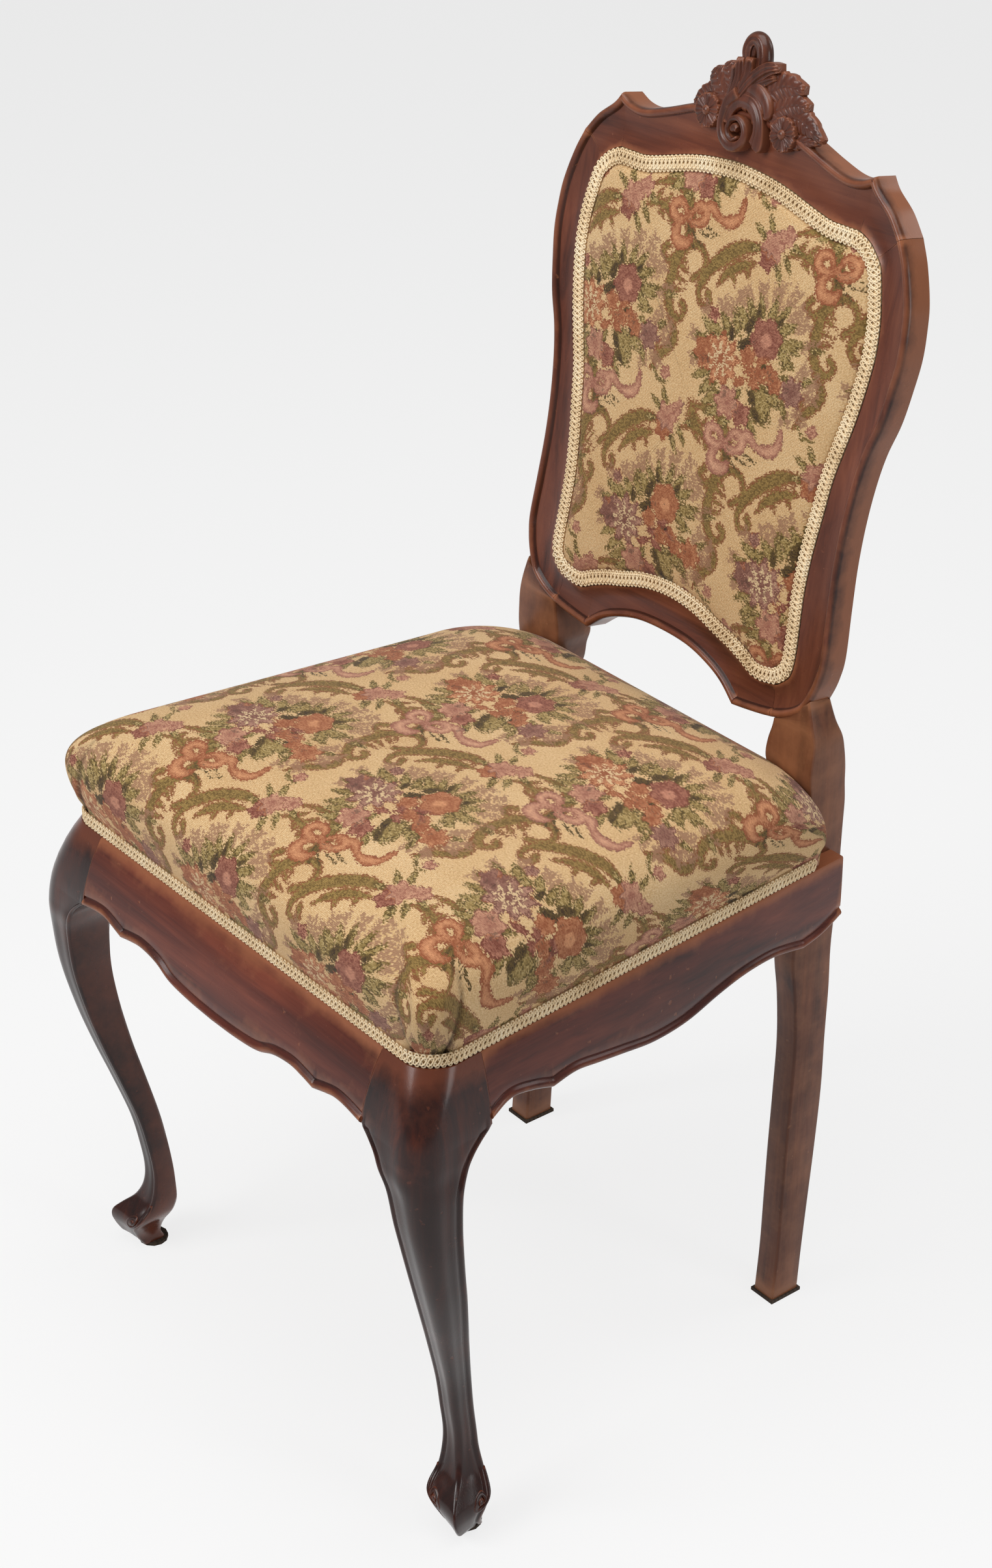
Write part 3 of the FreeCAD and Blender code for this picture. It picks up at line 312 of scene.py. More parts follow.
def half_run(outer, gimp, steps, level_start=False, level_end=False):
    """Smooth outer and gimp points of one run; a level end meets its mirror image smoothly."""
    rows = np.hstack([outer, gimp])
    if level_start:
        rows = np.vstack([rows[1] * mirrored_row, rows])
    if level_end:
        rows = np.vstack([rows, rows[-2] * mirrored_row])
    smooth = smooth_rows(rows, steps)
    return smooth[steps * level_start:len(smooth) - steps * level_end]


mirrored_row = (-1, 1, -1, 1)
crest_rows = [half_run(crest_centre_outer, crest_centre_gimp, 8, level_start=True)[:-1],
              half_run(crest_end_outer, crest_end_gimp, 8)[:-1]]
stile_rows = half_run(stile_outer, stile_gimp, 7)[:-1]
lower_rows = [half_run(foot_outer, foot_gimp, 6)[:-1],
              half_run(arch_outer, arch_gimp, 8, level_end=True)]
half_rows = np.vstack([*crest_rows, stile_rows, *lower_rows])
ring_rows = np.vstack([half_rows, half_rows[-2:0:-1] * mirrored_row])
outer_line = ring_rows[:, :2] * back_scale
gimp_line = ring_rows[:, 2:] * back_scale


def inward_mitres(line):
    """Inward unit directions of a closed line of points and their mitre lengths."""
    ahead = unit(np.roll(line, -1, axis=0) - line)
    behind = unit(line - np.roll(line, 1, axis=0))
    mean = unit(ahead + behind)
    inward = np.stack([mean[:, 1], -mean[:, 0]], 1)
    bend = np.clip(np.einsum("ij,ij->i", mean, ahead), 0.6, 1.0)
    if np.einsum("ij,ij->i", inward, -line + line.mean(0)).mean() < 0:
        inward = -inward
    return inward, 1.0 / bend


outer_inward, outer_mitre = inward_mitres(outer_line)
gimp_inward, gimp_mitre = inward_mitres(gimp_line)

# Moulding of the back frame: (in from the edge, depth) for the bead, then the dished field
bead_profile = [(0.0, 22.5), (0.0, 5.2), (0.25, 3.2), (1.0, 1.4), (2.1, 0.35), (3.4, 0.0),
                (4.7, 0.3), (5.8, 1.15), (6.5, 2.2), (6.9, 3.3), (7.3, 3.95), (8.2, 4.1)]
field_profile = [(0.12, 4.35), (0.3, 4.75), (0.5, 4.9), (0.7, 4.7), (0.88, 4.1), (1.0, 3.4)]
# From the gimp line inwards, the rebate that takes the cloth, and the back's edge
rebate_profile = [(0.0, 6.0), (12.0, 6.0), (12.0, back_thickness - 0.3), (11.5, back_thickness)]
# Gap at each joint of the frame
joint_gap = 0.12


def back_ring_section(index):
    """Points (x, depth, z) round the frame's section at one place of the ring."""
    edge = outer_line[index]
    inward = outer_inward[index] * outer_mitre[index]
    gimp = gimp_line[index]
    gimp_in = gimp_inward[index] * gimp_mitre[index]
    start = edge + inward * bead_profile[-1][0]
    points = [(*(edge + inward * 1.5), back_thickness)]
    points += [(*(edge + inward * along), depth) for along, depth in bead_profile]
    points += [(*(start + (gimp - start) * share), depth) for share, depth in field_profile]
    points += [(*(gimp + gimp_in * along), depth) for along, depth in rebate_profile]
    return np.array(points)[:, [0, 2, 1]]


def finished(name, part, sharp=40.0):
    piece = make_mesh(name, *part, sharp=sharp)
    edge_attribute(piece)
    return piece


def back_frame_part(first, last):
    """One wooden piece of the back frame from ring place first to last."""
    rings = np.array([back_ring_section(i % ring_count) for i in range(first, last + 1)])
    for end, next_ring in ((0, 1), (-1, -2)):
        along = rings[next_ring] - rings[end]
        rings[end] += along / max(np.linalg.norm(along.mean(0)), 1e-6) * joint_gap
    return solid(raked(rings))


ring_count = len(ring_rows)
crest_last = sum(map(len, crest_rows))
stile_last = crest_last + len(stile_rows)
wood = {name: finished("wood_" + name, back_frame_part(first, last)) for name, first, last in (
    ("crest_rail", -crest_last, crest_last), ("stile_left", crest_last, stile_last),
    ("stile_right", ring_count - stile_last, ring_count - crest_last),
    ("lower_back_rail", stile_last, ring_count - stile_last))}


# Aprons: (place along the rail, drop of the lower edge), both as shares
front_centre = [(0.0, 1.0), (0.166, 0.985), (0.315, 0.94), (0.425, 0.84), (0.536, 0.803),
                (0.619, 0.826), (0.694, 0.864)]
front_end = [(0.694, 0.864), (0.773, 0.81), (0.834, 0.78), (0.9, 0.788), (1.0, 0.833)]
side_front = [(0.0, 0.758), (0.05, 0.65), (0.105, 0.70), (0.158, 0.803)]
side_centre = [(0.158, 0.803), (0.219, 0.779), (0.281, 0.841), (0.344, 0.909), (0.435, 1.0),
               (0.53, 1.0), (0.624, 0.898), (0.70, 0.84), (0.771, 0.836), (0.82, 0.876),
               (0.883, 0.962)]
side_back = [(0.883, 0.962), (0.932, 0.93), (0.974, 0.86), (1.0, 0.80)]
# Bead under an apron: (up from the lower edge, out from the face)
apron_bead = [(0.0, -4.5), (0.2, -2.4), (1.0, -0.6), (2.2, 0.9), (3.6, 1.6), (5.0, 1.3),
              (6.2, 0.3), (6.9, -0.8), (7.6, -1.2), (8.6, -0.7), (9.6, -0.1)]
# Places between the bead and the seat's edge
apron_face_shares = (0.12, 0.28, 0.46, 0.64, 0.82, 0.97)


def apron_rings(line, face_at, inner_at, place):
    """Rings of a rail along its lower edge line of (along, height).

    face_at gives the outer face at (along, height), inner_at the inner face at along, and
    place puts (along, out, height) into the drawing.
    """
    up = side_of(line)[1]
    up[up[:, 1] < 0] *= -1
    up[0] = up[-1] = (0.0, 1.0)
    rings = []
    for (along, low), rise in zip(line, up):
        face = [(along + rise[0] * height, low + rise[1] * height, out)
                for height, out in apron_bead]
        start, top_of_bead, _ = face[-1]
        face += [(start + (along - start) * share,
                  top_of_bead + (seat_height - top_of_bead) * share, 0.0)
                 for share in apron_face_shares]
        ring = [place(a, face_at(a, h) + out, h) for a, h, out in face]
        ring.append(place(along, face_at(along, seat_height) - 0.6, seat_height))
        ring.append(place(along, inner_at(along), seat_height))
        ring.append(place(along, inner_at(along), low + 0.3))
        rings.append(ring)
    return np.array(rings)


def tack_strip_part(outline):
    """The strip that takes the tacks, on a closed plan outline."""
    heights = (seat_height - 1.0, seat_height + tack_strip)
    return solid([at_height(np.array(outline), height) for height in heights])


def front_rail():
    right_half = runs([front_centre, front_end], 8)
    line = np.vstack([right_half[:0:-1] * (-1, 1), right_half])
    line = line * (leg_joint_x - 0.1, -apron_depth) + (0, seat_height)
    rings = apron_rings(line, lambda along, height: -front_face(height),
                        lambda along: -seat_front - rail_thickness,
                        lambda along, out, height: (along, -out, height))
    front, back = seat_front + ledge, seat_front + rail_thickness
    strip = tack_strip_part([(-leg_joint_x, front), (leg_joint_x, front), (leg_joint_x, back),
                             (-leg_joint_x, back)])
    return joined([solid(rings), strip])


def side_rail():
    scale = (seat_side_end - leg_joint_y - 0.1, -apron_depth)
    line = runs([side_front, side_centre, side_back], 7) * scale + (leg_joint_y + 0.1, seat_height)

    def inner(along):
        return lap_x if along > lap_start else side_line(along) - rail_thickness

    rings = apron_rings(line, side_face, inner, lambda along, out, height: (out, along, height))
    ends = (leg_joint_y, strip_end)
    outline = [(side_line(y) - ledge, y) for y in ends]
    outline += [(side_line(y) - rail_thickness, y) for y in reversed(ends)]
    return joined([solid(rings), tack_strip_part(outline)])


def add_pair(node, name, part, sharp=40.0):
    """The left piece of wood and its mirror image on the right."""
    wood[node + "_left"] = finished(name + "_left", part, sharp)
    wood[node + "_right"] = finished(name + "_right", mirror_part(part), sharp)


wood["front_seat_rail"] = finished("wood_front_rail", front_rail())
add_pair("side_seat_rail", "wood_side_rail", side_rail())


# Carved leaves and scrolls
def blade(path, widths, lift, rise, grooves=0, groove=0.5, steps=8, back=6.0, teeth=0,
          tooth=0.0, veins=0, vein=0.0):
    """A carved leaf or scroll that follows a path, with grooves along it or veins across it."""
    rows = smooth_rows(with_widths(path, widths), steps)
    across = np.linspace(-1, 1, 25 if grooves or veins else 13)
    rings = []
    for i, ((x, up, wide), (nx, nz)) in enumerate(zip(rows, side_of(rows[:, :2])[1])):
        along = i / (len(rows) - 1)
        reach = max(wide, 0.15)
        if teeth:
            reach *= 1 - tooth * (1 - (along * teeth) % 1.0)
        round_end = min(1.0, math.sqrt(max(0.0, 1 - max(0.0, (along - 0.86) / 0.14) ** 2)) + 0.25)
        shape = np.maximum(1 - across ** 2, 0) ** 0.45 * rise * round_end
        if grooves:
            shape -= groove * (0.5 - 0.5 * np.cos(math.pi * grooves * (across + 1))) \
                * (np.abs(across) < 0.9) * min(1.0, wide / 2.0)
        if veins:
            phase = along * veins - np.abs(across) * 1.1
            shape -= vein * (0.5 + 0.5 * np.sin(2 * math.pi * phase)) * (np.abs(across) > 0.08)
            shape -= vein * (np.abs(across) < 0.06)
        ring = [(t, -(lift + h)) for t, h in zip(across, shape)] + [(1.0, back), (-1.0, back)]
        rings.append([(x + nx * reach * t, depth, up + nz * reach * t) for t, depth in ring])
    return solid(rings)


# Front legs: (height, forward, outward, width, ridge radius) as shares, foot to knee
leg_table = [
    (0.007, 0.06, 0.20, 0.47, 0.09), (0.021, 0.13, 0.32, 0.50, 0.07),
    (0.037, 0.17, 0.36, 0.58, 0.05), (0.056, 0.19, 0.30, 0.70, 0.04),
    (0.074, 0.16, 0.08, 0.78, 0.04), (0.090, 0.09, -0.22, 0.74, 0.05),
    (0.114, -0.02, -0.60, 0.60, 0.08), (0.151, -0.055, -0.84, 0.49, 0.10),
    (0.193, -0.045, -0.90, 0.445, 0.11), (0.251, 0.03, -0.86, 0.445, 0.12),
    (0.323, 0.145, -0.62, 0.465, 0.14), (0.414, 0.355, -0.05, 0.535, 0.18),
    (0.486, 0.53, 0.45, 0.60, 0.22), (0.553, 0.68, 0.80, 0.665, 0.26),
    (0.605, 0.785, 0.96, 0.71, 0.29), (0.663, 0.885, 1.06, 0.765, 0.33),
    (0.716, 0.95, 1.02, 0.825, 0.37), (0.779, 0.985, 0.90, 0.905, 0.42),
]
# How far the toe is drawn out along the foot's diagonal, against height
toe_height = (3.0, 9.0, 16.0, 24.0, 33.0, 45.0, 60.0)
toe_reach = (1.0, 6.5, 6.0, 4.5, 3.0, 1.2, 0.0)
foot_x, foot_y = 217.0, -229.0
knee_forward, knee_outward, knee_width = 48.0, 12.0, 44.0
ear_start, ear_height, head_radius = 335.0, 375.0, 29.0
ear_table = [(0.4, 0.22), (0.66, 0.42), (0.85, 0.68), (1.0, 0.96)]
head_table = [(0.0, 0.83), (0.15, 0.86), (0.35, 0.90), (0.6, 0.95), (0.8, 0.98), (1.0, 1.0)]
leg_hollow = 0.5
leg_bead = [(9.0, 0.9), (7.6, 1.5), (6.9, 1.3), (6.2, 0.6), (5.2, 0.1), (4.0, -0.1),
            (2.6, 0.1), (1.3, 0.8), (0.4, 2.0), (0.0, 3.4)]


def leg_ring(height, inner_x, outer_x, outer_back_x, front_y, back_y, ridge, beaded):
    """A section with a rounded outer ridge, hollow faces and a bead on each inner arris."""
    room = max(min(1.0, (outer_x - ridge - inner_x) / 16.0), 0.05)
    bead = room * beaded
    slope = (outer_back_x - outer_x) / (back_y - front_y)

    def outer_at(y):
        return outer_x + slope * (y - front_y)

    points = [(outer_x - ridge + (inner_x + 5.8 * room - outer_x + ridge) * t,
               front_y + leg_hollow * math.sin(math.pi * t) * bead)
              for t in (0.0, 0.2, 0.4, 0.6, 0.8)]
    points += [(inner_x + along * 0.64 * room, front_y + depth * 0.8 * bead)
               for along, depth in leg_bead]
    points += [(inner_x, back_y - 3.4 * beaded - 0.02),
               (inner_x + 0.9 * beaded, back_y - 0.9 * beaded - 0.01),
               (inner_x + 3.4 * beaded + 0.02, back_y)]
    for along, depth in reversed(leg_bead):
        y = back_y - along * 0.8 * room
        points.append((outer_at(y) - depth * bead, y))
    for t in (0.8, 0.6, 0.4, 0.2, 0.0):
        y = front_y + ridge + (back_y - 7.2 * room - front_y - ridge) * t
        points.append((outer_at(y) - leg_hollow * math.sin(math.pi * t) * bead, y))
    for turn in math.pi / 2 * np.arange(1, 12) / 12:
        y = front_y + ridge - ridge * math.sin(turn)
        points.append((outer_at(y) - ridge + ridge * math.cos(turn), y))
    reach = float(np.interp(height, toe_height, toe_reach))
    span = max(outer_x - inner_x, 1.0)
    drawn = []
    for x, y in points:
        near = max(0.0, 1 - math.hypot(outer_x - x, y - front_y) / span) ** 1.3
        drawn.append((x + 0.72 * reach * near, y - 0.69 * reach * near, height))
    return drawn


def front_leg():
    rows = []
    for height, forward, outward, width, ridge in leg_table:
        x = foot_x + outward * knee_outward
        y = foot_y - forward * knee_forward
        reach = width * knee_width / 2
        rows.append((height * seat_height, x - reach, x + reach, x + reach, y - reach, y + reach,
                     ridge * knee_width, 1.0))
    knee_inner_x, knee_inner_y = rows[-1][1], rows[-1][5]
    for rise, spread in ear_table:
        height = ear_start + rise * (ear_height - ear_start)
        back = knee_inner_y + spread * (leg_joint_y - knee_inner_y)
        rows.append((height, knee_inner_x + spread * (leg_joint_x - knee_inner_x),
                     float(side_face(seat_front, height)), float(side_face(back, height)),
                     float(front_face(height)), back, 21.0 + 3.0 * rise, 1.0))
    smooth = list(smooth_rows(rows, 6))
    for rise, rounding in head_table:
        height = ear_height + 3.0 + rise * (seat_height - ear_height - 3.0)
        smooth.append((height, leg_joint_x + 0.1, float(side_face(seat_front, height)),
                       float(side_face(leg_joint_y, height)), float(front_face(height)),
                       leg_joint_y - 0.1, rounding * head_radius, 0.0))
    strip = tack_strip_part([(leg_joint_x, seat_front + ledge),
                             (side_line(seat_front) - ledge - 20, seat_front + ledge),
                             (side_line(seat_front) - ledge - 2, seat_front + ledge + 20),
                             (side_line(leg_joint_y) - ledge, leg_joint_y),
                             (leg_joint_x, leg_joint_y)])
    return joined([solid([leg_ring(*row) for row in smooth]), strip])


def foot_volutes():
    """The beads' ends, curled into a volute on the front and the side of a front foot."""
    scale = (seat_height, -knee_forward, knee_outward, knee_width / 2)
    table = smooth_rows(np.array(leg_table)[:, :4] * scale + (0, foot_y, foot_x, 0), 6)
    curl = [(1.6, 50), (1.4, 42), (1.6, 34), (4.4, 26.6), (9.8, 24.4), (14.2, 28.2),
            (13.4, 34.2), (8.6, 36.4), (5.2, 32.6), (6.4, 28.8)]
    parts = [blade(curl, (1.0, 1.4, 1.6, 1.7, 1.7, 1.7, 1.7, 1.5, 1.2, 0.8), -0.4, 1.3,
                   back=3.0, steps=6),
             blade([(7.6, 30.4), (9.4, 30.8), (11.0, 30.2)], (2.0, 2.9, 2.0), -0.5, 1.5,
                   back=3.0, steps=6)]
    points, faces = joined(parts)
    along, deep, up = points.T
    forward, outward, reach = (np.interp(up, table[:, 0], table[:, k]) for k in (1, 2, 3))
    front = np.column_stack([outward - reach + along, forward - reach + deep, up])
    side = np.column_stack([outward + reach - deep, forward + reach - along, up])
    return joined([(front, facing_out(front, faces)), (side, facing_out(side, faces))])


add_pair("front_leg", "wood_front_leg", joined([front_leg(), foot_volutes()]), 50.0)


# Rear legs and posts: (height, front, back) and (height, inner, outer, front, back) as shares
rear_leg_table = [
    (0.0053, 0.0, 0.80), (0.085, 0.06, 0.85), (0.18, 0.07, 0.93), (0.26, 0.08, 1.0),
    (0.36, 0.11, 1.06), (0.45, 0.12, 1.04), (0.53, 0.02, 1.04), (0.60, -0.14, 1.0),
    (0.66, -0.08, 1.03), (0.72, 0.0, 1.06), (0.785, 0.06, 1.06),
]
post_table = [
    (0.81, 0.33, 0.02, 0.06, 1.05), (0.836, 0.62, 0.02, 0.04, 1.05),
    (0.865, 0.80, 0.03, -0.02, 1.0), (0.89, 1.0, 0.04, -0.06, 0.97),
    (0.915, 0.97, 0.06, -0.05, 0.90), (0.94, 0.84, 0.06, -0.03, 0.80),
    (0.965, 0.76, -0.10, -0.04, 0.66), (1.0, 0.72, -0.38, -0.02, 0.58),
]
post_top, rear_face, rear_depth = 562.0, lap_start, 37.0
rear_inner, rear_outer, post_spread = 151.0, 173.5, 27.0
underside_across = (118.0, 129.0, 151.0, 160.0, 167.0, 173.0, 176.0)
underside_up = (3.0, 6.5, 16.0, 24.0, 38.0, 70.0, 80.0)


def rear_ring(height, inner, outer, front, back, edge=2.2):
    points = []
    for cx, cy, start in ((outer - edge, front + edge, 0), (inner + edge, front + edge, 1),
                          (inner + edge, back - edge, 2), (outer - edge, back - edge, 3)):
        for step in range(4):
            turn = -math.pi / 2 * (start + step / 3)
            points.append((cx + edge * math.cos(turn), cy + edge * math.sin(turn), height))
    return points


def rear_leg():
    rows = [(height, 0.0, 0.0, front, back) for height, front, back in rear_leg_table]
    rows = smooth_rows(rows + post_table, 5)
    scale = (post_top, -post_spread, rear_outer - rear_inner, rear_depth, rear_depth)
    rows = rows * scale + (0.0, rear_inner, rear_outer, rear_face, rear_face)
    points, faces = skin([rear_ring(*row) for row in rows])
    # The top is cut to the back frame's underside where it meets it
    rise = np.interp(points[:, 0], underside_across, underside_up)
    c, s = math.cos(back_rake), math.sin(back_rake)
    depth = (points[:, 1] - back_foot_y - rise * s) / c
    limit = back_foot_height + rise * c - depth * s - 0.15
    points[:, 2] = np.minimum(points[:, 2], limit)
    return points, facing_out(points, faces)


add_pair("rear_leg", "wood_rear_leg", rear_leg())


# Tapestry: a repeat of bouquets and scrolls, kept as distances to each shape's edge.
# Places are measured from the rose of a bouquet; every other row swaps its colours.
repeat_across, repeat_up, row_rise = 155.0, 304.0, 152.0
tile_columns, tile_rows = 256, 512
burgundy, rust, purple, pink = 0.0, 0.33, 0.66, 1.0


class Weave:
    """One repeat of the cloth; each layer holds how far inside its shapes a point lies."""

    def __init__(self):
        shape = (tile_rows, tile_columns)
        self.layers = {name: np.full(shape, -6.0)
                       for name in ("scroll", "leaf", "petal", "dark", "sprig", "cream")}
        self.shade = np.full(shape, 0.5)
        self.hue = np.zeros(shape)
        self.x = np.arange(tile_columns) * repeat_across / tile_columns
        self.y = np.arange(tile_rows) * repeat_up / tile_rows

    def windows(self, cx, cy, reach):
        """The row's colouring, the part of the tile and the offsets near each copy of a place."""
        for row in range(-2, 4):
            for column in range(-4, 4):
                x0 = cx + column * repeat_across + row * repeat_across / 2
                y0 = cy + row * row_rise
                columns = np.nonzero(np.abs(self.x - x0) < reach)[0]
                rows = np.nonzero(np.abs(self.y - y0) < reach)[0]
                if len(columns) and len(rows):
                    where = (slice(rows[0], rows[-1] + 1), slice(columns[0], columns[-1] + 1))
                    gx, gy = np.meshgrid(self.x[where[1]] - x0, self.y[where[0]] - y0)
                    yield row % 2, where, gx, gy

    def paint(self, layer, parity, where, inside, shade, hue):
        here = self.layers[layer][where]
        if shade is not None:
            use = (inside > here) & (inside > -1.5)
            self.shade[where][use] = shade[use]
            self.hue[where][use] = hue[parity]
        self.layers[layer][where] = np.maximum(here, inside)

    def oval(self, layer, x, y, angle, long, wide, shade=None, hue=None):
        """An oval whose near end is at (x, y), long and wide across."""
        c, s = math.cos(math.radians(angle)), math.sin(math.radians(angle))
        half_long, half_wide = long / 2, wide / 2
        for parity, where, gx, gy in self.windows(x + c * half_long, y + s * half_long,
                                                  half_long + 6):
            a = (gx * c + gy * s) / half_long
            b = (-gx * s + gy * c) / half_wide * (1 + 0.25 * a)
            inside = (1 - np.sqrt(a * a + b * b)) * min(half_long, half_wide)
            tone = None
            if shade is not None:
                tone = shade[0] + (shade[1] - shade[0]) * np.clip(a * 0.5 + 0.5, 0, 1)
            self.paint(layer, parity, where, inside, tone, hue)

    def stroke(self, layer, points, widths, shade=None, hue=None):
        """A band through points whose half width follows widths."""
        rows = smooth_rows(with_widths(points, widths), 4)
        low, high = rows[:, :2].min(0), rows[:, :2].max(0)
        middle = (low + high) / 2
        for parity, where, gx, gy in self.windows(middle[0], middle[1],
                                                  (high - low).max() / 2 + 8):
            best = np.full(gx.shape, -9.0)
            for p, q in zip(rows, rows[1:]):
                d = q[:2] - p[:2]
                px, py = gx + middle[0] - p[0], gy + middle[1] - p[1]
                t = np.clip((px * d[0] + py * d[1]) / max(d @ d, 1e-9), 0, 1)
                away = np.hypot(px - t * d[0], py - t * d[1])
                best = np.maximum(best, p[2] + (q[2] - p[2]) * t - away)
            tone = None if shade is None else np.clip(
                shade[0] + (shade[1] - shade[0]) * best / max(widths), 0, 1)
            self.paint(layer, parity, where, best, tone, hue)

    def flower(self, x, y, radius, petals, turn, hue, heart=0.28, first=0.15, last=0.9):
        """An open flower of petals round a dark heart, with cream stamens on a large one."""
        for place in range(petals):
            angle = turn + 360.0 * place / petals
            tone = (first, last - 0.2 * (place % 2))
            self.oval("petal", x, y, angle, radius, radius * 4.2 / petals, tone, hue)
            if radius > 14:
                c, s = math.cos(math.radians(angle + 8)), math.sin(math.radians(angle + 8))
                near, far = radius * 0.22, radius * 0.62
                self.stroke("cream", [(x + c * near, y + s * near), (x + c * far, y + s * far)],
                            (0.9, 1.3))
        self.oval("dark", x - radius * heart / 2, y, 0.0, radius * heart, radius * heart)

    def rose(self, x, y, radius, hue):
        """A full rose: broad outer petals and curled inner ones."""
        for place in range(6):
            self.oval("petal", x, y, 60 * place + 15, radius, radius * 0.95, (0.1, 0.35), hue)
        self.oval("petal", x - radius * 0.55, y - radius * 0.1, 0, radius * 1.25, radius * 1.2,
                  (0.75, 0.95), hue)
        for ring, start, span, wide in ((0.70, 150, 190, 1.3), (0.40, -30, 230, 1.0)):
            arc = []
            for step in range(7):
                angle = math.radians(start + step * span / 6)
                arc.append((x + radius * ring * math.cos(angle),
                            y + radius * ring * math.sin(angle)))
            self.stroke("petal", arc, (0.4, wide, 0.4), (0.0, 0.05), hue)
        self.oval("dark", x - 1.6, y - 0.6, 10, 3.4, 2.4)


def weave_cloth():
    """The repeat; a pair of colours is for a row of bouquets and for the row over it."""
    cloth = Weave()
    main, other, third = (burgundy, rust), (rust, purple), (purple, rust)
    ribbon, pinks = (pink, rust), (pink, pink)
    # Leaves round the bouquet: (x, up, angle, long, wide)
    for row in (
            (12, 2, -8, 22, 9), (12, -4, -26, 20, 8), (14, 0, 16, 24, 7), (10, 8, 30, 20, 8),
            (6, 12, 55, 20, 7), (0, 13, 78, 19, 7), (-8, 12, 105, 18, 7), (-12, 8, 128, 20, 7),
            (-18, 6, 150, 20, 8), (-28, -4, 118, 18, 7), (-34, -6, 142, 20, 8),
            (-40, -10, 160, 22, 7), (-50, -12, 150, 20, 8), (-56, -18, 172, 18, 7),
            (-56, -26, 200, 18, 8), (-50, -36, 212, 20, 8), (-44, -42, 226, 22, 8),
            (-36, -50, 216, 24, 9), (-32, -62, 205, 20, 8), (-24, -68, 222, 18, 7),
            (-8, -36, -38, 24, 9), (2, -34, -58, 26, 9), (8, -36, -34, 20, 7),
            (12, -36, -12, 16, 6), (-2, -46, -40, 22, 8), (-6, -54, -22, 20, 7),
            (-8, -60, -44, 18, 7), (20, -22, -12, 12, 5), (18, -14, 8, 14, 5),
            (44, 4, 10, 12, 5), (-2, -18, -30, 20, 8), (-24, 0, 95, 14, 7),
            (-18, -42, 250, 16, 7), (26, -40, -70, 14, 5), (40, -22, 30, 12, 5)):
        cloth.oval("leaf", *row)
    # Dark leaves that fill between the flowers
    for row in (
            (-26, -14, 40, 18, 9), (-12, -24, -30, 18, 9), (-20, -2, 75, 16, 8),
            (-30, -44, 250, 12, 7), (0, -20, -20, 18, 9), (-8, -40, -60, 16, 7),
            (-52, -30, 190, 14, 7), (-34, -12, 100, 14, 6), (-20, -50, 280, 14, 7),
            (8, -26, -60, 14, 6), (-10, 10, 100, 14, 5), (8, 10, 60, 12, 5),
            (24, -30, -10, 10, 5), (-2, -52, -50, 14, 6)):
        cloth.oval("dark", *row)
    for row in (
            (-16, -26, -10, 12, 6), (-6, -18, 20, 12, 6), (4, -20, -40, 12, 6),
            (-24, -40, 30, 12, 6), (-10, -34, -20, 11, 6), (-58, -22, 150, 9, 6)):
        cloth.oval("petal", *row, (0.1, 0.5), (rust, burgundy))
    # Sprigs that fan up and out: (x, up, angle, long)
    for x, y, angle, long in (
            (2, 14, 80, 30), (8, 14, 62, 32), (-6, 12, 104, 26), (-14, 8, 122, 26),
            (4, 14, 92, 24), (14, 12, 48, 26), (20, 10, 35, 22), (26, 2, 12, 24),
            (-24, 4, 112, 24), (-40, -2, 118, 20), (-34, -2, 100, 20), (-50, -8, 140, 22),
            (-60, -18, 172, 16), (32, -26, 55, 20), (36, -32, 8, 20), (34, -38, -42, 18),
            (28, -40, -80, 14), (-58, -30, 200, 14), (40, -26, 32, 18)):
        c, s = math.cos(math.radians(angle)), math.sin(math.radians(angle))
        cloth.stroke("sprig", [(x, y), (x + c * long * 0.5, y + s * long * 0.5),
                               (x + c * long, y + s * long)], (0.6, 1.0, 0.6))
        for share in (0.3, 0.5, 0.7, 0.9):
            for side in (-42, 42):
                cloth.oval("sprig", x + c * long * share, y + s * long * share, angle + side,
                           7.0, 3.0)
    # Flowers
    cloth.flower(-60, -26, 12, 6, 20, other, 0.2, 0.0, 0.35)
    cloth.flower(-42, -27, 20, 9, 12, other, 0.22, 0.0, 0.95)
    cloth.rose(0, 0, 16, main)
    for x, y, radius in ((-2, -27, 7.5), (10, -24, 7), (16, -30, 7.5), (-15, -17, 8)):
        cloth.flower(x, y, radius, 5, 30, (rust, rust), 0.25, 0.0, 0.6)
    cloth.flower(-29, -56, 13, 6, 0, pinks, 0.25, 0.1, 0.85)
    cloth.flower(-13, -61, 10, 5, 40, (burgundy, burgundy), 0.35, 0.0, 0.8)
    cloth.flower(33, -31, 12, 7, 0, third, 0.4, 0.0, 0.7)
    cloth.flower(-56, 4, 6, 5, 0, (burgundy, purple), 0.4)
    for row in ((-28, -13, 60, 7), (-20, -36, 20, 8), (-12, -8, 70, 6)):
        cloth.oval("dark", *row, 3.4)
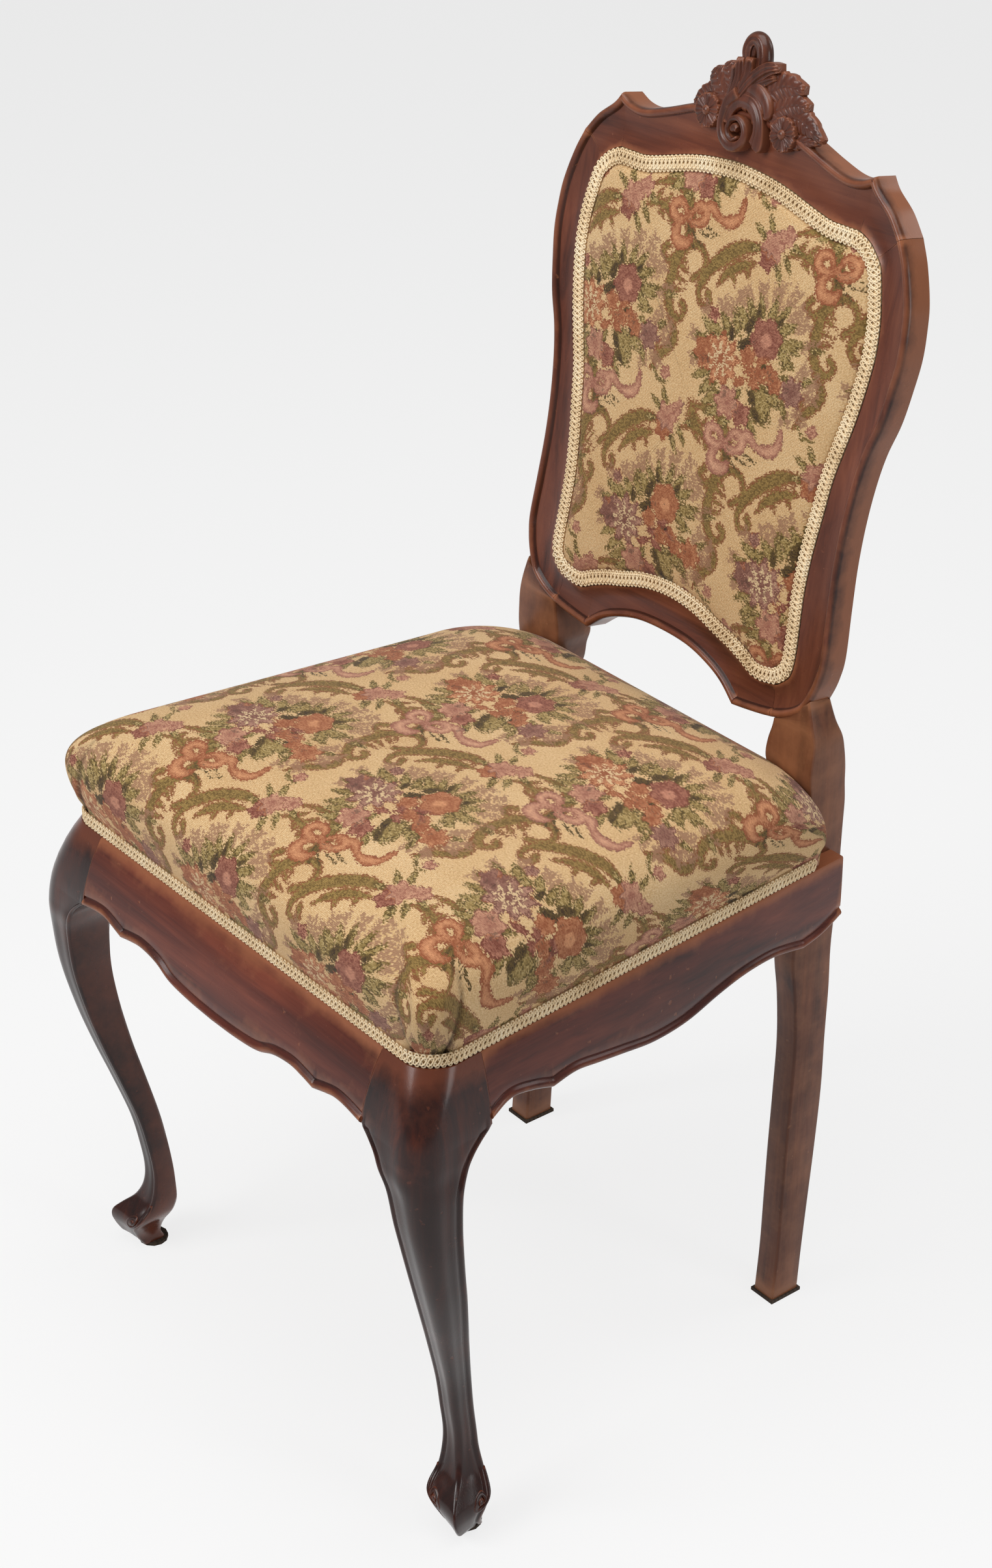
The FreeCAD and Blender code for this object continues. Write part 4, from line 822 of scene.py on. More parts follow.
    # Bow: loops, tails and a long ribbon
    for points, widths in (
            ([(-26, -86), (-33, -78), (-42, -80), (-42, -88), (-34, -90), (-27, -87)],
             (1.6, 3.6, 4.2, 3.6, 1.8)),
            ([(-24, -86), (-16, -76), (-7, -78), (-8, -86), (-18, -90), (-24, -87)],
             (1.6, 3.6, 4.2, 3.6, 1.8)),
            ([(-26, -88), (-35, -96), (-33, -106), (-22, -106), (-18, -100)],
             (1.6, 4.0, 5.6, 4.6, 1.6)),
            ([(-14, -80), (-3, -74), (8, -80), (20, -80), (28, -74), (29, -62)],
             (2.0, 4.4, 2.8, 5.0, 3.6, 2.0))):
        cloth.stroke("petal", points, widths, (0.05, 0.95), ribbon)
    cloth.oval("petal", -29, -87, 0, 8, 7, (0.0, 0.3), ribbon)
    for points in ([(-22, -88), (-8, -94), (4, -96)], [(-23, -89), (-14, -99), (-4, -104)],
                   [(-20, -86), (-4, -89), (10, -92)], [(-24, -90), (-20, -100), (-12, -108)]):
        cloth.stroke("dark", points, (1.0, 1.1, 0.9))
    # Scroll to the left of the small flower over each bouquet, with its fronds
    cloth.stroke("scroll", [(-20, 62), (-37, 59), (-53, 50), (-66, 38), (-74, 26), (-77, 15),
                            (-71, 6), (-64, 10), (-67, 17)],
                 (1.6, 5.0, 6.0, 5.4, 4.0, 2.6, 2.2, 2.6, 3.0))
    cloth.stroke("scroll", [(-24, 50), (-38, 45), (-51, 36), (-59, 24)], (1.4, 4.2, 3.8, 0.8))
    # Arch to the right
    cloth.stroke("scroll", [(6, 78), (18, 84), (34, 86), (48, 80), (56, 66), (57, 52),
                            (50, 38), (40, 29), (32, 34), (37, 40)],
                 (0.8, 2.4, 3.2, 4.2, 5.0, 4.6, 3.6, 2.6, 2.6, 3.2))
    cloth.stroke("scroll", [(4, 62), (16, 67), (30, 65), (42, 56), (46, 44)],
                 (0.8, 2.6, 3.2, 2.6, 0.6))
    for row in ((14, 68, 60, 11), (24, 68, 50, 12), (34, 66, 40, 12), (20, 64, -40, 9),
                (32, 62, -60, 9), (50, 72, 150, 12), (52, 60, 170, 11), (-30, 56, 70, 9),
                (-44, 48, 60, 9), (-32, 46, -70, 9), (-46, 38, -60, 9)):
        cloth.oval("scroll", *row, 4.0)
    # Hooked scroll that stands between bouquets
    cloth.stroke("scroll", [(70, 23), (79, 32), (78, 43), (68, 48), (57, 43), (49, 31),
                            (46, 16), (47, 2), (53, -8), (62, -10), (67, -2), (62, 2)],
                 (3.0, 2.2, 2.6, 3.4, 3.6, 4.4, 5.0, 4.6, 4.0, 2.8, 2.6, 3.0))
    for row in ((51, 30, -20, 12), (49, 20, -8, 13), (49, 10, 10, 12), (52, 38, -38, 11)):
        cloth.oval("scroll", *row, 3.8)
    cloth.stroke("scroll", [(50, -13), (58, -18), (60, -27), (54, -36), (46, -45), (40, -56)],
                 (1.2, 3.2, 4.6, 4.2, 3.2, 1.0))
    cloth.oval("scroll", 46, -30, -110, 14, 3.6)
    cloth.flower(57, -53, 5.5, 5, 60, pinks, 0.25)
    cloth.stroke("leaf", [(42, -52), (50, -60), (60, -60)], (1.0, 1.4, 0.8))
    # Small flower where the scrolls meet
    cloth.flower(-11, 66, 12, 6, 10, pinks, 0.25, 0.1, 0.8)
    cloth.flower(-14, 56, 9, 5, 0, main, 0.3, 0.0, 0.5)
    cloth.flower(1, 76, 8, 5, 20, pinks, 0.2, 0.2, 0.8)
    for row in ((-18, 70, 150, 15), (-14, 76, 120, 13), (2, 62, -50, 14), (-4, 54, -60, 14),
                (-22, 62, 190, 12), (6, 70, -10, 12)):
        cloth.oval("leaf", *row, 5.0)
    cloth.oval("dark", -8, 58, -60, 9, 4.0)
    return cloth


def tile_value(grid, u, v):
    """Values of one repeat's grid at cloth places in millimetres."""
    x = np.mod(u / repeat_across, 1.0) * tile_columns
    y = np.mod(v / repeat_up, 1.0) * tile_rows
    i0, j0 = np.floor(x).astype(int), np.floor(y).astype(int)
    fx, fy = x - i0, y - j0
    i1, j1 = (i0 + 1) % tile_columns, (j0 + 1) % tile_rows
    i0, j0 = i0 % tile_columns, j0 % tile_rows
    return (grid[j0, i0] * (1 - fx) * (1 - fy) + grid[j0, i1] * fx * (1 - fy)
            + grid[j1, i0] * (1 - fx) * fy + grid[j1, i1] * fx * fy)


woven = weave_cloth()
woven_names = {"woven_ground": ("scroll", "leaf", "petal"),
               "woven_detail": ("dark", "sprig", "cream")}


def weave_attributes(piece, offset):
    """Writes how far inside each woven shape every point of a cover lies, from its UV."""
    mesh = piece.data
    loops = np.empty(len(mesh.loops), np.int64)
    mesh.loops.foreach_get("vertex_index", loops)
    uv = np.empty(len(mesh.loops) * 2, np.float32)
    mesh.uv_layers[0].data.foreach_get("uv", uv)
    places = np.zeros((len(mesh.vertices), 2))
    places[loops] = uv.reshape(-1, 2)
    u, v = (places * 1000 - offset).T
    grids = {name: [woven.layers[layer] for layer in layers]
             for name, layers in woven_names.items()}
    grids["woven_tone"] = [woven.shade, woven.hue, np.zeros_like(woven.hue)]
    for name, of_name in grids.items():
        data = np.stack([tile_value(grid, u, v) for grid in of_name], 1)
        point_values(mesh, name, "FLOAT_VECTOR", np.clip(data, -6, 6).astype(np.float32))


# Seat cushion: (height, inset, front corner, back line, back corner) as shares
cushion_table = [
    (0.01, 0.023, 0.93, 0.0, 0.3), (0.11, 0.019, 0.93, 0.0, 0.5), (0.21, -0.008, 0.85, 0.0, 1.0),
    (0.35, -0.031, 0.72, 0.02, 1.5), (0.50, -0.034, 0.66, 0.09, 2.0),
    (0.625, 0.0, 0.72, 0.20, 2.2), (0.73, 0.077, 0.92, 0.32, 2.2),
    (0.825, 0.20, 1.2, 0.46, 2.1), (0.91, 0.42, 1.55, 0.69, 1.9),
    (0.97, 0.69, 1.9, 0.96, 1.6), (1.0, 1.0, 2.0, 1.23, 1.3),
]
seat_crown, cushion_draw, seat_tongue = 104.0, 130.0, 160.0
# Underside and top of the hessian under the seat's filling
hessian_heights = (443.6, 444.6)
post_heights = (430.0, 441.0, 455.0, 470.0, 486.0, 500.0, 514.0, 528.0, 562.0)
post_inner_line = (151.0, 151.0, 142.0, 134.3, 129.4, 124.0, 124.8, 128.3, 131.0)
post_front_line = (133.0, 133.2, 133.2, 132.5, 130.3, 128.8, 129.1, 129.9, 130.3)


def cushion_ring(row, counts, shrink, drop):
    """One ring of the cushion, from the middle of the front round to the middle again."""
    up, draw, front_round, back_draw, back_round = row
    height = seat_height + up * (seat_crown - drop)
    inset = draw * cushion_draw + shrink
    back_y = seat_tongue - back_draw * cushion_draw - shrink
    slant = math.hypot(1.0, side_slope)
    front_y = seat_front + inset
    front_x = side_line(front_y) - inset * slant
    back_x = side_line(back_y) - inset * slant
    front_radius = max(front_round * head_radius - shrink, 1.0)
    back_radius = max(back_round * head_radius - shrink, 1.0)
    front_n, corner_n, side_n, rear_n, back_n = counts
    corner_x = front_x - front_radius
    points = [(corner_x * i / front_n, front_y) for i in range(front_n)]
    for turn in math.pi / 2 * np.arange(corner_n) / corner_n:
        points.append((corner_x + front_radius * math.sin(turn) * (1 + side_slope),
                       front_y + front_radius - front_radius * math.cos(turn)))
    start = np.array([front_x + side_slope * front_radius, front_y + front_radius])
    end = np.array([back_x - side_slope * back_radius, back_y - back_radius])
    points += [start + (end - start) * i / side_n for i in range(side_n)]
    for turn in math.pi / 2 * np.arange(rear_n) / rear_n:
        points.append((end[0] - back_radius + back_radius * math.cos(turn),
                       end[1] + back_radius * math.sin(turn)))
    corner_x = end[0] - back_radius
    points += [(corner_x * (1 - i / back_n), back_y) for i in range(back_n + 1)]
    half = np.array(points)
    return at_height(np.vstack([half, half[-2:0:-1] * (-1, 1)]), height)


def clear_of_posts(points, gap):
    """Presses cushion points back to the faces of the rear posts."""
    inner = np.interp(points[:, 2], post_heights, post_inner_line) - gap
    front = np.interp(points[:, 2], post_heights, post_front_line) - gap
    across = np.abs(points[:, 0])
    inside = (across > inner) & (points[:, 1] > front)
    by_front = inside & (points[:, 1] - front < across - inner)
    by_side = inside & ~by_front
    out = points.copy()
    out[by_front, 1] = front[by_front]
    out[by_side, 0] = np.sign(points[by_side, 0]) * inner[by_side]
    return out


def cushion_mesh(counts, wall_steps, cap_rings, shrink, drop, gap):
    table = smooth_rows(cushion_table, wall_steps)
    rings = [cushion_ring(row, counts, shrink, drop) for row in table]
    top = rings[-1]
    middle = np.array([0.0, top[:, 1].mean(), top[0, 2] + 0.6])
    for i in range(1, cap_rings):
        share = 1 - i / cap_rings
        ring = middle + (top - middle) * share
        ring[:, 2] = top[0, 2] + 0.6 * (1 - share * share)
        rings.append(ring)
    around = len(top)
    points, faces = domed([clear_of_posts(ring, gap) for ring in rings], middle)
    # Cloth places: spread out from the middle by the length of cloth used
    uv = np.zeros((len(points), 2))
    uv[-1] = middle[:2]
    place = np.tile(middle[:2], (around, 1))
    before = np.tile(middle, (around, 1))
    for i, ring in reversed(list(enumerate(rings))):
        step = ring - before
        length = np.linalg.norm(step, axis=1)
        tangent = np.roll(ring, -1, axis=0) - np.roll(ring, 1, axis=0)
        normal = unit(np.stack([tangent[:, 1], -tangent[:, 0]], 1))
        outwards = np.einsum("ij,ij->i", step[:, :2], normal) / np.maximum(length, 1e-9)
        weight = np.clip(outwards / 0.6, 0, 1)[:, None]
        run = unit(weight * unit(step[:, :2]) + (1 - weight) * normal)
        place = place + run * length[:, None]
        before = ring
        uv[i * around:(i + 1) * around] = place
    return points, facing_out(points, faces), uv / 1000, around


def blow_up(piece, held, frames=16, cap=0.006):
    """Cloth under pressure, held where it is tacked; no point moves further than cap."""
    mesh = piece.data
    start = vertex_places(mesh)
    group = piece.vertex_groups.new(name="tacked")
    group.add([int(i) for i in held], 1.0, "REPLACE")
    cloth = piece.modifiers.new("cloth", "CLOTH")
    for key, value in {"quality": 5, "mass": 0.3, "tension_stiffness": 40,
                       "compression_stiffness": 40, "shear_stiffness": 20,
                       "bending_stiffness": 2.0, "use_pressure": True,
                       "uniform_pressure_force": 4.0, "shrink_min": -0.012,
                       "vertex_group_mass": "tacked"}.items():
        setattr(cloth.settings, key, value)
    cloth.settings.effector_weights.gravity = 0.0
    cloth.collision_settings.use_collision = False
    cloth.point_cache.frame_start = 1
    cloth.point_cache.frame_end = frames
    scene = bpy.context.scene
    for step in range(1, frames + 1):
        scene.frame_set(step)
    blown = bpy.data.meshes.new_from_object(
        piece.evaluated_get(bpy.context.evaluated_depsgraph_get()))
    shift = vertex_places(blown) - start
    bpy.data.meshes.remove(blown)
    piece.modifiers.remove(cloth)
    piece.vertex_groups.clear()
    away = np.linalg.norm(shift, axis=1)
    shift *= np.minimum(1.0, cap / np.maximum(away, 1e-9))[:, None]
    mesh.vertices.foreach_set("co", (start + shift).astype(np.float32).ravel())
    mesh.update()
    scene.frame_set(1)


def subdivided(piece, levels):
    """The piece with smooth subdivision applied."""
    modifier = piece.modifiers.new("smooth", "SUBSURF")
    modifier.levels = levels
    modifier.render_levels = levels
    modifier.uv_smooth = "NONE"
    settled(piece, modifier)
    piece.data.shade_smooth()


def press_pleats(piece):
    """Two pleats that run up each front corner of the cover from the gimp, with a painted shade along
    their folds.
    """
    mesh = piece.data
    points = vertex_places(mesh) * 1000 - (0.0, drawing_shift, 0.0)
    shifted = points.copy()
    crease_shade = np.zeros(len(points))
    for side in (-1, 1):
        corner = np.array([side * (side_line(seat_front) - head_radius),
                           seat_front + head_radius])
        away = points[:, :2] - corner
        # Angle round the corner: 0 faces the front, a right angle faces the side
        turn = np.degrees(np.arctan2(away[:, 0] * side, -away[:, 1]))
        reach = np.hypot(away[:, 0], away[:, 1])
        for middle, lean in ((20.0, 30.0), (66.0, -30.0)):
            rise = np.clip((points[:, 2] - seat_height) / 72.0, 0, 1.2)
            off = (turn - middle + lean * rise) / 90.0 * head_radius * 1.6
            fade = np.clip(1.05 - rise, 0, 1) ** 0.6 * np.clip((points[:, 2] - 434.0) / 5.0, 0.15, 1)
            near = (reach > head_radius * 0.5) & (reach < head_radius * 2.4) & (turn > -30)
            near &= turn < 120
            tight = np.exp(-(off / 1.9) ** 2)
            fold = np.where(off > 0, tight, np.exp(-(off / 5.5) ** 2))
            lip = 0.8 * np.exp(-((off - 3.2) / 2.2) ** 2)
            depth = np.where(near, (2.3 * fold - lip) * fade, 0.0)
            # Painted shade along each fold, kept for the tapestry's colour
            crease_shade = np.maximum(crease_shade, np.where(near, tight * fade ** 0.5, 0.0))
            shifted[:, :2] -= unit(away) * depth[:, None]
    shifted = (shifted + (0.0, drawing_shift, 0.0)) / 1000
    mesh.vertices.foreach_set("co", shifted.astype(np.float32).ravel())
    point_values(mesh, "pleat_shade", "FLOAT", crease_shade.astype(np.float32))
    mesh.update()


def seat_cover():
    points, faces, uv, _ = cushion_mesh((20, 10, 34, 16, 16), wall_steps=4, cap_rings=16,
                                        shrink=0.0, drop=2.0, gap=0.4)
    piece = make_mesh("seat_tapestry", points, faces, uv, 180.0)
    low = np.nonzero(points[:, 2] < seat_height + 9.0)[0]
    by_post = np.nonzero((points[:, 1] > 120.0) & (points[:, 2] < 505.0))[0]
    blow_up(piece, np.union1d(low, by_post))
    subdivided(piece, 2)
    press_pleats(piece)
    weave_attributes(piece, (0.0, 4.0))
    return piece


def seat_pad():
    """The filling, flat where it rests on the hessian."""
    points, faces, uv, around = cushion_mesh((10, 6, 16, 10, 8), wall_steps=2, cap_rings=8,
                                             shrink=3.0, drop=6.0, gap=2.4)
    points[:, 2] = np.maximum(points[:, 2], hessian_heights[1] + 0.9)
    faces.append(tuple(reversed(range(around))))
    return make_mesh("seat_filling", points, faces, uv, 60.0)


# Back panel: (share kept of the ring as it is drawn in, share of the rise)
panel_table = [(1.0, 0.0), (0.985, 0.22), (0.95, 0.40), (0.88, 0.56), (0.80, 0.68), (0.68, 0.80),
               (0.58, 0.88), (0.45, 0.95), (0.33, 1.0), (0.2, 1.02), (0.1, 1.03)]


def inset_line(line, inset):
    inward, mitre = inward_mitres(line)
    return line + inward * (mitre * inset)[:, None]


def drawn_in(line, share):
    """A line on the back, drawn in to a share of its size towards its middle."""
    middle = (0.0, (line[:, 1].max() + line[:, 1].min()) / 2)
    return middle + (line - middle) * share


def on_plane(line, depth):
    """A line on the upright back plane, set at a depth behind it."""
    return np.column_stack([line[:, 0], np.full(len(line), depth), line[:, 1]])


def panel_part(edge_inset, rim, crown, steps, thin=1):
    """The panel's front, with its faces turned to the front of the chair."""
    edge = inset_line(gimp_line, edge_inset)[::thin]
    rings = [on_plane(inset_line(gimp_line, 1.0)[::thin], rim)]
    rings += [on_plane(drawn_in(edge, keep), rim - up * (rim + crown))
              for keep, up in smooth_rows(panel_table, steps)]
    centre = on_plane(drawn_in(edge, 0.0)[:1], rim - panel_table[-1][1] * (rim + crown))
    points, faces = domed(rings, centre)
    a, b, c = (points[faces[len(faces) // 2][i]] for i in range(3))
    if np.cross(b - a, c - a)[1] > 0:
        faces = [tuple(reversed(face)) for face in faces]
    return points, faces, points[:, [0, 2]] / 1000, len(edge)


def back_cover():
    points, faces, uv, around = panel_part(edge_inset=13.0, rim=3.8, crown=5.6, steps=8)
    # The cover's back lies flat on the hessian, so the piece is closed
    base = len(points)
    points = np.vstack([points, points[:around] + (0, 1.0, 0)])
    uv = np.vstack([uv, uv[:around]])
    turned = faces[0][0] < faces[0][1]
    for j in range(around):
        k = (j + 1) % around
        faces.append((j, base + j, base + k, k) if turned else (j, k, base + k, base + j))
    faces.append(tuple(base + j for j in (reversed(range(around)) if turned else range(around))))
    points = raked(points)
    faces = facing_out(points, faces)
    piece = make_mesh("back_tapestry", points, faces, uv, 60.0)
    weave_attributes(piece, (-91.0, 282.5))
    return piece


def back_pad():
    points, faces, uv, around = panel_part(edge_inset=16.0, rim=4.4, crown=3.6, steps=2, thin=4)
    turned = faces[0][0] < faces[0][1]
    faces.append(tuple(reversed(range(around))) if not turned else tuple(range(around)))
    points = raked(points)
    return make_mesh("back_filling", points, facing_out(points, faces), uv, 60.0)


# Node trees
def tone(r, g, b):
    """A colour written as it looks, 0 to 255, in linear light."""
    shares = (value / 255.0 for value in (r, g, b))
    return (*(s / 12.92 if s <= 0.04045 else ((s + 0.055) / 1.055) ** 2.4 for s in shares), 1.0)


def grey(value):
    return (value, value, value, 1.0)


class Nodes:
    """A node tree, with short words for the steps that the trees of the chair share."""

    def __init__(self, tree):
        self.tree = tree

    def fill(self, item, **values):
        """Sets or links inputs, named by their words or, as n0 or n6, by their place."""
        for key, value in values.items():
            by_place = key[0] == "n" and key[1:].isdigit()
            socket = item.inputs[int(key[1:]) if by_place else key.replace("_", " ")]
            if isinstance(value, bpy.types.NodeSocket):
                self.tree.links.new(value, socket)
            else:
                socket.default_value = value

    def add(self, kind, settings=None, **values):
        item = self.tree.nodes.new(kind)
        for key, value in (settings or {}).items():
            setattr(item, key, value)
        self.fill(item, **values)
        return item

    def coords(self):
        return self.add("ShaderNodeTexCoord").outputs

    def attribute(self, name):
        return self.add("ShaderNodeAttribute", {"attribute_name": name}).outputs

    def placed(self, group, **values):
        return self.add("ShaderNodeGroup", {"node_tree": group}, **values).outputs

    def split(self, vector):
        return self.add("ShaderNodeSeparateXYZ", Vector=vector).outputs

    def maths(self, operation, *terms, clamp=False):
        values = {f"n{place}": term for place, term in enumerate(terms)}
        return self.add("ShaderNodeMath", {"operation": operation, "use_clamp": clamp},
                        **values).outputs[0]

    def times(self, a, b):
        return self.maths("MULTIPLY", a, b)

    def blended(self, a, share, b, other):
        """The sum of two values, each with its share."""
        return self.maths("MULTIPLY_ADD", a, share, self.times(b, other))

    def noise(self, vector, scale, detail=2.0, roughness=0.5, distortion=0.0):
        return self.add("ShaderNodeTexNoise", Vector=vector, Scale=scale, Detail=detail,
                        Roughness=roughness, Distortion=distortion).outputs["Fac"]

    def between(self, value, low, high, first=0.0, last=1.0):
        """A value carried from low and high to first and last."""
        return self.add("ShaderNodeMapRange", Value=value, From_Min=low, From_Max=high,
                        To_Min=first, To_Max=last).outputs[0]

    def scaled(self, vector, amounts):
        return self.add("ShaderNodeVectorMath", {"operation": "MULTIPLY"},
                        n0=vector, n1=amounts).outputs[0]

    def ramp(self, factor, *stops):
        """Colours along a value, as (place, colour as it looks)."""
        item = self.add("ShaderNodeValToRGB", n0=factor)
        parts = item.color_ramp.elements
        while len(parts) < len(stops):
            parts.new(0.5)
        for part, (place, colour) in zip(parts, stops):
            part.position = place
            part.color = tone(*colour)
        return item.outputs[0]

    def mixed(self, factor, first, second, kind="MIX"):
        return self.add("ShaderNodeMix", {"data_type": "RGBA", "blend_type": kind},
                        n0=factor, n6=first, n7=second).outputs[2]

    def coats(self, colour, *coats):
        """A colour with coats laid over it, each as (how much of it shows, colour)."""
        for share, coat in coats:
            if isinstance(coat, tuple):
                coat = tone(*coat)
            colour = self.mixed(share, colour, coat)
        return colour

    def bump(self, height, distance, strength):
        return self.add("ShaderNodeBump", Strength=strength, Distance=distance,
                        Height=height).outputs[0]

    def seen(self):
        """One where the eye, a reflection or glass sees the surface, and nothing for lamps."""
        path = self.add("ShaderNodeLightPath").outputs
        seen = self.maths("ADD", path["Is Camera Ray"], path["Is Glossy Ray"], clamp=True)
        return self.maths("ADD", seen, path["Is Transmission Ray"], clamp=True)


def new_group(name, inputs, outputs, kind="ShaderNodeTree"):
    """A node group's nodes, given sockets and results, from words and the kinds of socket."""
    nodes = Nodes(bpy.data.node_groups.new(name, kind))
    for way, sockets in (("INPUT", inputs), ("OUTPUT", outputs)):
        for words, of_kind in sockets.items():
            nodes.tree.interface.new_socket(words, in_out=way, socket_type="NodeSocket" + of_kind)
    return nodes, nodes.add("NodeGroupInput").outputs, nodes.add("NodeGroupOutput")


def new_finish(name):
    """A new material with its nodes and its shader."""
    material = bpy.data.materials.new(name)
    material.use_nodes = True
    nodes = Nodes(material.node_tree)
    nodes.tree.nodes.clear()
    shader = nodes.add("ShaderNodeBsdfPrincipled")
    nodes.add("ShaderNodeOutputMaterial", n0=shader.outputs[0])
    return material, nodes, shader


def settled(piece, modifier):
    """Turns what a modifier makes into the piece's own mesh."""
    fine = bpy.data.meshes.new_from_object(
        piece.evaluated_get(bpy.context.evaluated_depsgraph_get()))
    rough = piece.data
    piece.modifiers.remove(modifier)
    piece.data = fine
    bpy.data.meshes.remove(rough)


# Braid: small crossed loops and edge scallops set along a path
def braid_tree(cords, ground):
    nodes, given, result = new_group(
        "gimp braid", {"Geometry": "Geometry", "Loop length": "Float", "Loop width": "Float",
                       "Cord": "Float", "Scallop": "Float"},
        {"Geometry": "Geometry"}, "GeometryNodeTree")

    def ring(resolution, radius):
        return nodes.add("GeometryNodeCurvePrimitiveCircle", Resolution=resolution,
                         Radius=radius).outputs["Curve"]

    def moved(geometry, **values):
        return nodes.add("GeometryNodeTransform", Geometry=geometry, **values).outputs[0]

    def vector(x, y, z):
        return nodes.add("ShaderNodeCombineXYZ", X=x, Y=y, Z=z).outputs[0]

    def joined_in(geometries):
        both = nodes.add("GeometryNodeJoinGeometry")
        for geometry in geometries:
            nodes.fill(both, n0=geometry)
        return both.outputs[0]

    def written(name, kind="FLOAT_VECTOR"):
        return nodes.add("GeometryNodeInputNamedAttribute", {"data_type": kind},
                         Name=name).outputs["Attribute"]

    def turned_to(axis, direction, **values):
        return nodes.add("FunctionNodeAlignRotationToVector", axis, Vector=direction,
                         **values).outputs[0]

    cord = ring(5, given["Cord"])
    curves = []
    for turn, lift in ((0.5, 0.0), (-0.5, 0.0006)):
        size = vector(nodes.times(given["Loop width"], 0.5), nodes.times(given["Loop length"], 0.5),
                      1.0)
        curves.append(moved(moved(ring(12, 1.0), Scale=size), Rotation=(0.0, 0.0, turn),
                            Translation=(0.0, 0.0, lift)))
    for side in (-0.5, 0.5):
        out = nodes.times(given["Loop length"], side * 1.04)
        curves.append(moved(ring(8, given["Scallop"]), Translation=vector(0.0, out, 0.0)))
    units = joined_in([nodes.add("GeometryNodeCurveToMesh", Curve=curve,
                                 Profile_Curve=cord).outputs[0] for curve in curves])
    chosen = written("unit", "BOOLEAN")
    lying = turned_to({"axis": "Z"}, written("outward"))
    turned = turned_to({"axis": "X", "pivot_axis": "Z"}, written("along"), Rotation=lying)
    loops = nodes.add("GeometryNodeInstanceOnPoints", Points=given["Geometry"], Selection=chosen,
                      Instance=units, Rotation=turned).outputs[0]
    made = nodes.add("GeometryNodeRealizeInstances", Geometry=loops).outputs[0]
    band = nodes.add("GeometryNodeDeleteGeometry", Geometry=given["Geometry"],
                     Selection=chosen).outputs[0]
    both = joined_in([nodes.add("GeometryNodeSetMaterial", Geometry=part,
                                Material=material).outputs[0]
                      for part, material in ((made, cords), (band, ground))])
    nodes.fill(result, Geometry=nodes.add("GeometryNodeSetShadeSmooth", Geometry=both).outputs[0])
    return nodes.tree


def even_path(points, spacing, closed):
    """Points set at an even spacing along a line, with their directions."""
    if closed:
        points = np.vstack([points, points[:1]])
    length = np.concatenate([[0], np.cumsum(np.linalg.norm(np.diff(points, axis=0), axis=1))])
    total = length[-1]
    marks = np.linspace(0, total, max(int(round(total / spacing)), 2) + 1)[:-1]
    if not closed:
        marks = marks + spacing / 2

    def at(marks):
        marks = marks % total if closed else np.clip(marks, 0, total)
        return np.stack([np.interp(marks, length, points[:, k]) for k in range(3)], 1)

    return at(marks), unit(at(marks + 1.5) - at(marks - 1.5))


def braid(name, path, outward_at, width, thick, closed=False, spacing=4.4):
    """A braid along a path through the middle of its back; outward_at gives its face direction."""
    places, along = even_path(path, spacing / 2, closed)
    outward = outward_at(places, along)
    across = np.cross(outward, along)
    profile = [(-0.5, 0.0), (-0.5, 0.25), (-0.4, 0.36), (-0.2, 0.34), (0.0, 0.28), (0.2, 0.34),
               (0.4, 0.36), (0.5, 0.25), (0.5, 0.0)]
    rings = np.stack([places + across * (width * 0.9 * a) + outward * (thick * b)
                      for a, b in profile], 1)
    points, faces = skin(rings, capped=not closed)
    if closed:
        count, last = len(profile), len(points) - len(profile)
        faces += [(last + j, last + (j + 1) % count, (j + 1) % count, j) for j in range(count)]
    units, unit_along = even_path(path, spacing, closed)
    unit_out = outward_at(units, unit_along)
    piece = make_mesh(name, np.vstack([points, units + unit_out * thick * 0.55]),
                      facing_out(points, faces), sharp=180.0)
    for key, kind, values in (("unit", "BOOLEAN", np.ones((len(units), 1), bool)),
                              ("along", "FLOAT_VECTOR", unit_along),
                              ("outward", "FLOAT_VECTOR", unit_out)):
        before = np.zeros((len(points), values.shape[1]), values.dtype)
        point_values(piece.data, key, kind, np.vstack([before, values]))
    modifier = piece.modifiers.new("braid", "NODES")
    modifier.node_group = braids
    sizes = {"Loop length": width * 0.00070, "Loop width": spacing * 0.00074,
             "Cord": 0.00062, "Scallop": spacing * 0.00030}
    for item in braids.interface.items_tree:
        if item.item_type == "SOCKET" and item.in_out == "INPUT" and item.name in sizes:
            modifier[item.identifier] = sizes[item.name]
    settled(piece, modifier)
    for key in ("unit", "along", "outward"):
        layer = piece.data.attributes.get(key)
        if layer:
            piece.data.attributes.remove(layer)
    return piece


facing_forward = np.array([0.0, -math.cos(back_rake), math.sin(back_rake)])


def seat_outline(inset, end):
    """Plan line of the seat from the left side round the front to the right side."""
    slant = math.hypot(1.0, side_slope)
    front_y = seat_front + inset
    front_x = side_line(front_y) - inset * slant
    radius = head_radius - inset
    half = [(0.0, front_y), (front_x - radius, front_y)]
    for turn in math.pi / 2 * np.arange(1, 12) / 12:
        half.append((front_x - radius + radius * math.sin(turn) * (1 + side_slope),
                     front_y + radius - radius * math.cos(turn)))
    half += [(side_line(y) - inset * slant, y) for y in np.linspace(front_y + radius, end, 12)]
    half = np.array(half)
    return np.vstack([half[:0:-1] * (-1, 1), half])


def plan_outward(places, along):
    """Directions square to a line in plan, away from the middle of the seat."""
    out = np.stack([along[:, 1], -along[:, 0], np.zeros(len(along))], 1)
    inward = np.array([0.0, -60.0, 0.0]) - places
    wrong = np.einsum("ij,ij->i", out[:, :2], inward[:, :2]) > 0
    out[wrong] *= -1
    return unit(out)


def same_way(direction):
    return lambda places, along: np.tile(direction, (len(places), 1))


